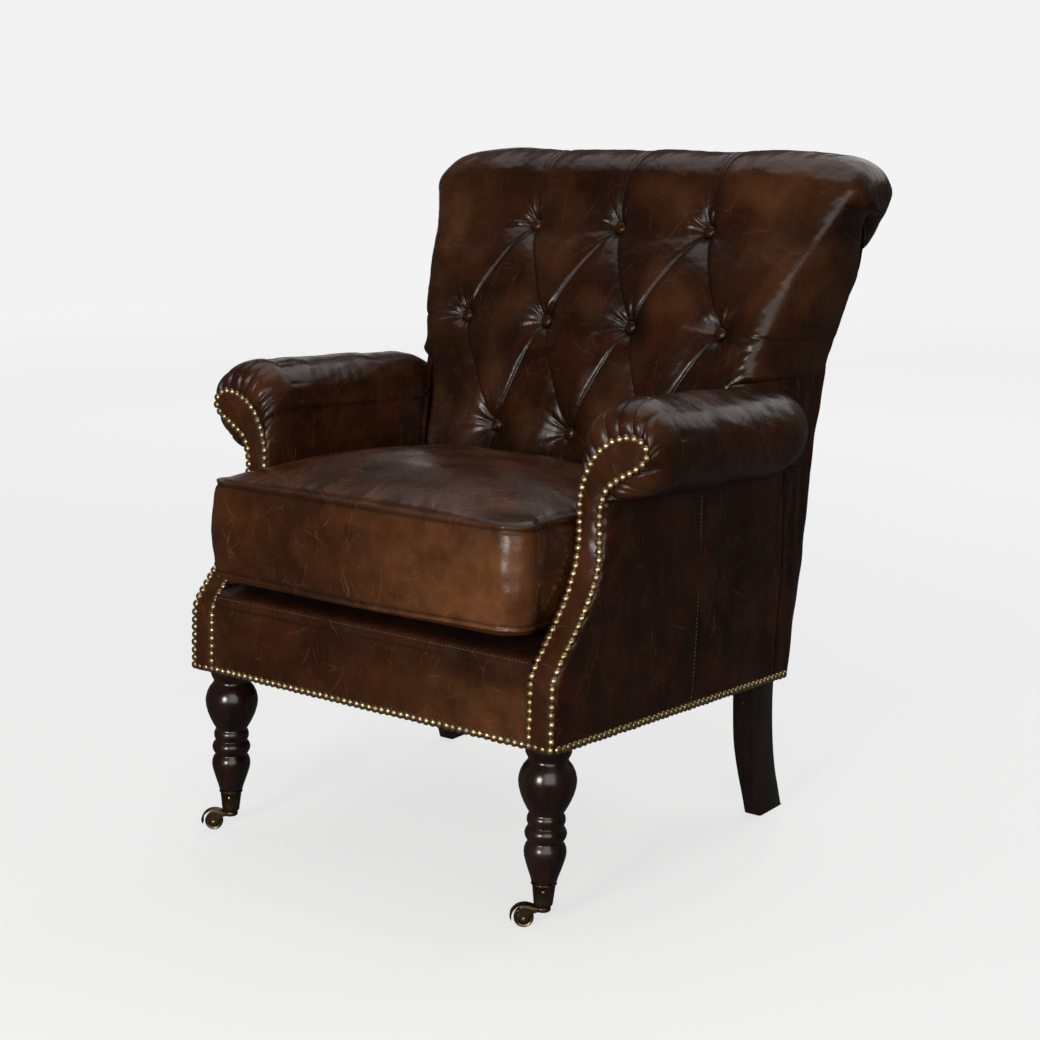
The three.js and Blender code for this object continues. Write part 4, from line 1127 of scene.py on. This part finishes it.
def horn(name, body, local):
    """The swivelling horn: a boss under the cup, and an arched fork whose cheeks hold the axle."""
    boss_profile = [(0.05, 20.8), (8.4, 20.8), (9.3, 21.6), (9.5, 23), (9.5, 26), (8.9, 27), (3.0, 27.1),
                    (3.0, 32), (0.05, 32.2)]
    boss = lathe_object(f"{name}_horn_boss", boss_profile, 36, CASTER_BRASS, local, body)
    # The arch is a strip over the wheel; each cheek is a plate below it, drawn in to the axle.
    arch_path = spline([(2, 24.6), (9, 25.6), (16, 28.0), (24, 29.2), (32, 27.0), (38, 21.5), (40.2, 15),
                        (39.5, 9.5)], 40)
    rings = []
    tangents = np.gradient(arch_path, axis=0)
    tangents /= np.linalg.norm(tangents, axis=1)[:, None]
    for i, ((x, z), (tx, tz)) in enumerate(zip(arch_path, tangents)):
        wide = 7.2 * (0.92 + 0.08 * math.sin(math.pi * i / 39))
        thick = 1.3 if i < 36 else 1.3 - 0.25 * (i - 35)
        ring = []
        for k in range(12):
            a = 2 * math.pi * k / 12
            cx = np.sign(math.cos(a)) * abs(math.cos(a)) ** 0.45 * wide
            cz = np.sign(math.sin(a)) * abs(math.sin(a)) ** 0.8 * thick
            ring.append((x - tz * cz, cx, z + tx * cz))
        rings.append(ring)
    arch = ring_solid(f"{name}_horn_arch", rings, CASTER_BRASS, body=body, matrix=local)
    stands_for(arch, "aged_brass", f"{name}_caster_horn")
    plate = [(1, 21.4), (8, 20.6), (14, 17.6), (18.4, 13.0), (20, 8.6), (24, 7.4), (28.6, 9.8), (29.4, 14.5),
             (29.8, 20), (28, 27.6), (20, 28.2), (11, 25.6), (1, 24.4), (1, 21.4)]
    outline = spline(plate, 70)[:-1]
    mid = outline.mean(0)
    for way, letter in ((-1, "a"), (1, "b")):
        rings = []
        for inset, yy in ((0.0, 4.9), (0.0, 6.4), (0.35, 7.0), (1.0, 7.3)):
            p = outline + (mid - outline) / np.linalg.norm(mid - outline, axis=1)[:, None] * inset
            rings.append([(x, way * yy, z) for x, z in p])
        cheek = ring_solid(f"{name}_horn_cheek_{letter}", rings, CASTER_BRASS, reverse=way > 0, body=body,
                           matrix=local, smooth_shade=False)


# ---------------------------------------------------------------- carried-over CAD pieces

def frame_pieces():
    for name, obj in frame["nodes"].items():
        if name == "dust_cover":
            material = CLOTH
        elif name == "seat_webbing":
            material = JUTE
        elif name.endswith("leg_and_post"):
            material = DARK_WOOD
        else:
            material = FRAME_WOOD
        obj.data.materials.clear()
        obj.data.materials.append(material)


# ---------------------------------------------------------------- stage

def stage():
    scene = bpy.context.scene
    floor_mesh = bpy.data.meshes.new("floor")
    size = 60.0
    corners = [(-size, -size, 0), (size, -size, 0), (size, size, 0), (-size, size, 0)]
    floor_mesh.from_pydata(corners, [], [(0, 1, 2, 3)])
    floor = bpy.data.objects.new("floor", floor_mesh)
    scene.collection.objects.link(floor)
    n = Nodes("pale_floor")
    n.put(n.shader.inputs["Base Color"], n.mix(n.noise(2.0), (0.29, 0.29, 0.29), (0.31, 0.31, 0.31)))
    n.shader.inputs["Roughness"].default_value = 0.9
    n.shader.inputs["Specular IOR Level"].default_value = 0.0
    n.shader.inputs["Emission Color"].default_value = (1, 1, 1, 1)
    far = n.add("ShaderNodeVectorMath", {0: n.coords}, operation="LENGTH").outputs["Value"]
    n.put(n.shader.inputs["Emission Strength"], n.span(far, 0.8, 7.0, 0.68, 0.81))
    floor_mesh.materials.append(n.material)
    floor.visible_glossy = False
    floor.visible_diffuse = False

    # A pale backdrop all round, dimmer as a light than it looks.
    world = bpy.data.worlds.new("studio")
    scene.world = world
    world.use_nodes = True
    tree = world.node_tree
    dim = tree.nodes["Background"]
    dim.inputs["Color"].default_value = (1.0, 1.0, 1.0, 1)
    dim.inputs["Strength"].default_value = 0.052
    pale = tree.nodes.new("ShaderNodeBackground")
    pale.inputs["Color"].default_value = (1.0, 0.995, 0.995, 1)
    pale.inputs["Strength"].default_value = 0.89
    path = tree.nodes.new("ShaderNodeLightPath")
    choose = tree.nodes.new("ShaderNodeMixShader")
    tree.links.new(path.outputs["Is Camera Ray"], choose.inputs["Fac"])
    tree.links.new(dim.outputs[0], choose.inputs[1])
    tree.links.new(pale.outputs[0], choose.inputs[2])
    tree.links.new(choose.outputs[0], tree.nodes["World Output"].inputs["Surface"])

    def area(name, spot, target, size, power, colour=(1, 1, 1)):
        data = bpy.data.lights.new(name, "AREA")
        data.shape = "RECTANGLE"
        data.size, data.size_y = size
        data.energy = power
        data.color = colour
        light = bpy.data.objects.new(name, data)
        light.location = spot
        light.rotation_euler = (Vector(target) - Vector(spot)).to_track_quat("-Z", "Y").to_euler()
        scene.collection.objects.link(light)

    area("front", (0.45, -3.3, 1.15), (0, 0, 0.5), (0.8, 0.8), 46, (1, 0.98, 0.95))
    area("front_right", (2.6, -2.5, 1.7), (0, 0, 0.6), (2.6, 2.4), 40, (1, 0.98, 0.95))
    area("behind", (0.35, 3.2, 2.8), (0.1, 0, 0.6), (3.4, 2.6), 34)
    area("behind_left", (-3.0, 2.6, 1.3), (0, 0, 0.5), (1.6, 1.0), 3)
    sun = bpy.data.lights.new("overhead", "SUN")
    sun.energy = 0.75
    sun.angle = math.radians(60)
    above = bpy.data.objects.new("overhead", sun)
    above.rotation_euler = (math.radians(-14), math.radians(-10), 0)
    scene.collection.objects.link(above)

    # The camera, placed in body coordinates where the chair's own geometry puts it.
    az, el, roll = math.radians(37.3), math.radians(9.22), math.radians(1.91)
    back = Vector((math.sin(az) * math.cos(el), -math.cos(az) * math.cos(el), math.sin(el)))
    right = Vector((math.cos(az), math.sin(az), 0))
    up = back.cross(right)
    r = right * math.cos(roll) + up * math.sin(roll)
    u = -right * math.sin(roll) + up * math.cos(roll)
    turn = Matrix((r, u, back)).transposed()
    turn = Matrix.Rotation(-RAKE, 3, "X") @ turn
    data = bpy.data.cameras.new("camera")
    data.sensor_width = 36
    data.lens = 36 * 1918 / 1040
    data.clip_end = 100
    camera = bpy.data.objects.new("camera", data)
    camera.matrix_world = Matrix.Translation(BODY @ Vector((1599.9, -1776.5, 863.0))) @ turn.to_4x4()
    scene.collection.objects.link(camera)
    scene.camera = camera
    scene.view_settings.view_transform = "Standard"


frame_pieces()
back_surface()
back_buttons()
for which in (-1, 1):
    arm_surface(which)
    facing(which)
    side_panels(which)
    rear_corner(which)
outside_back()
front_border()
cushion()
seat_deck()
dust_cover()
nails()
all_stitches()
front_legs()
rear_legs()
casters()
stage()
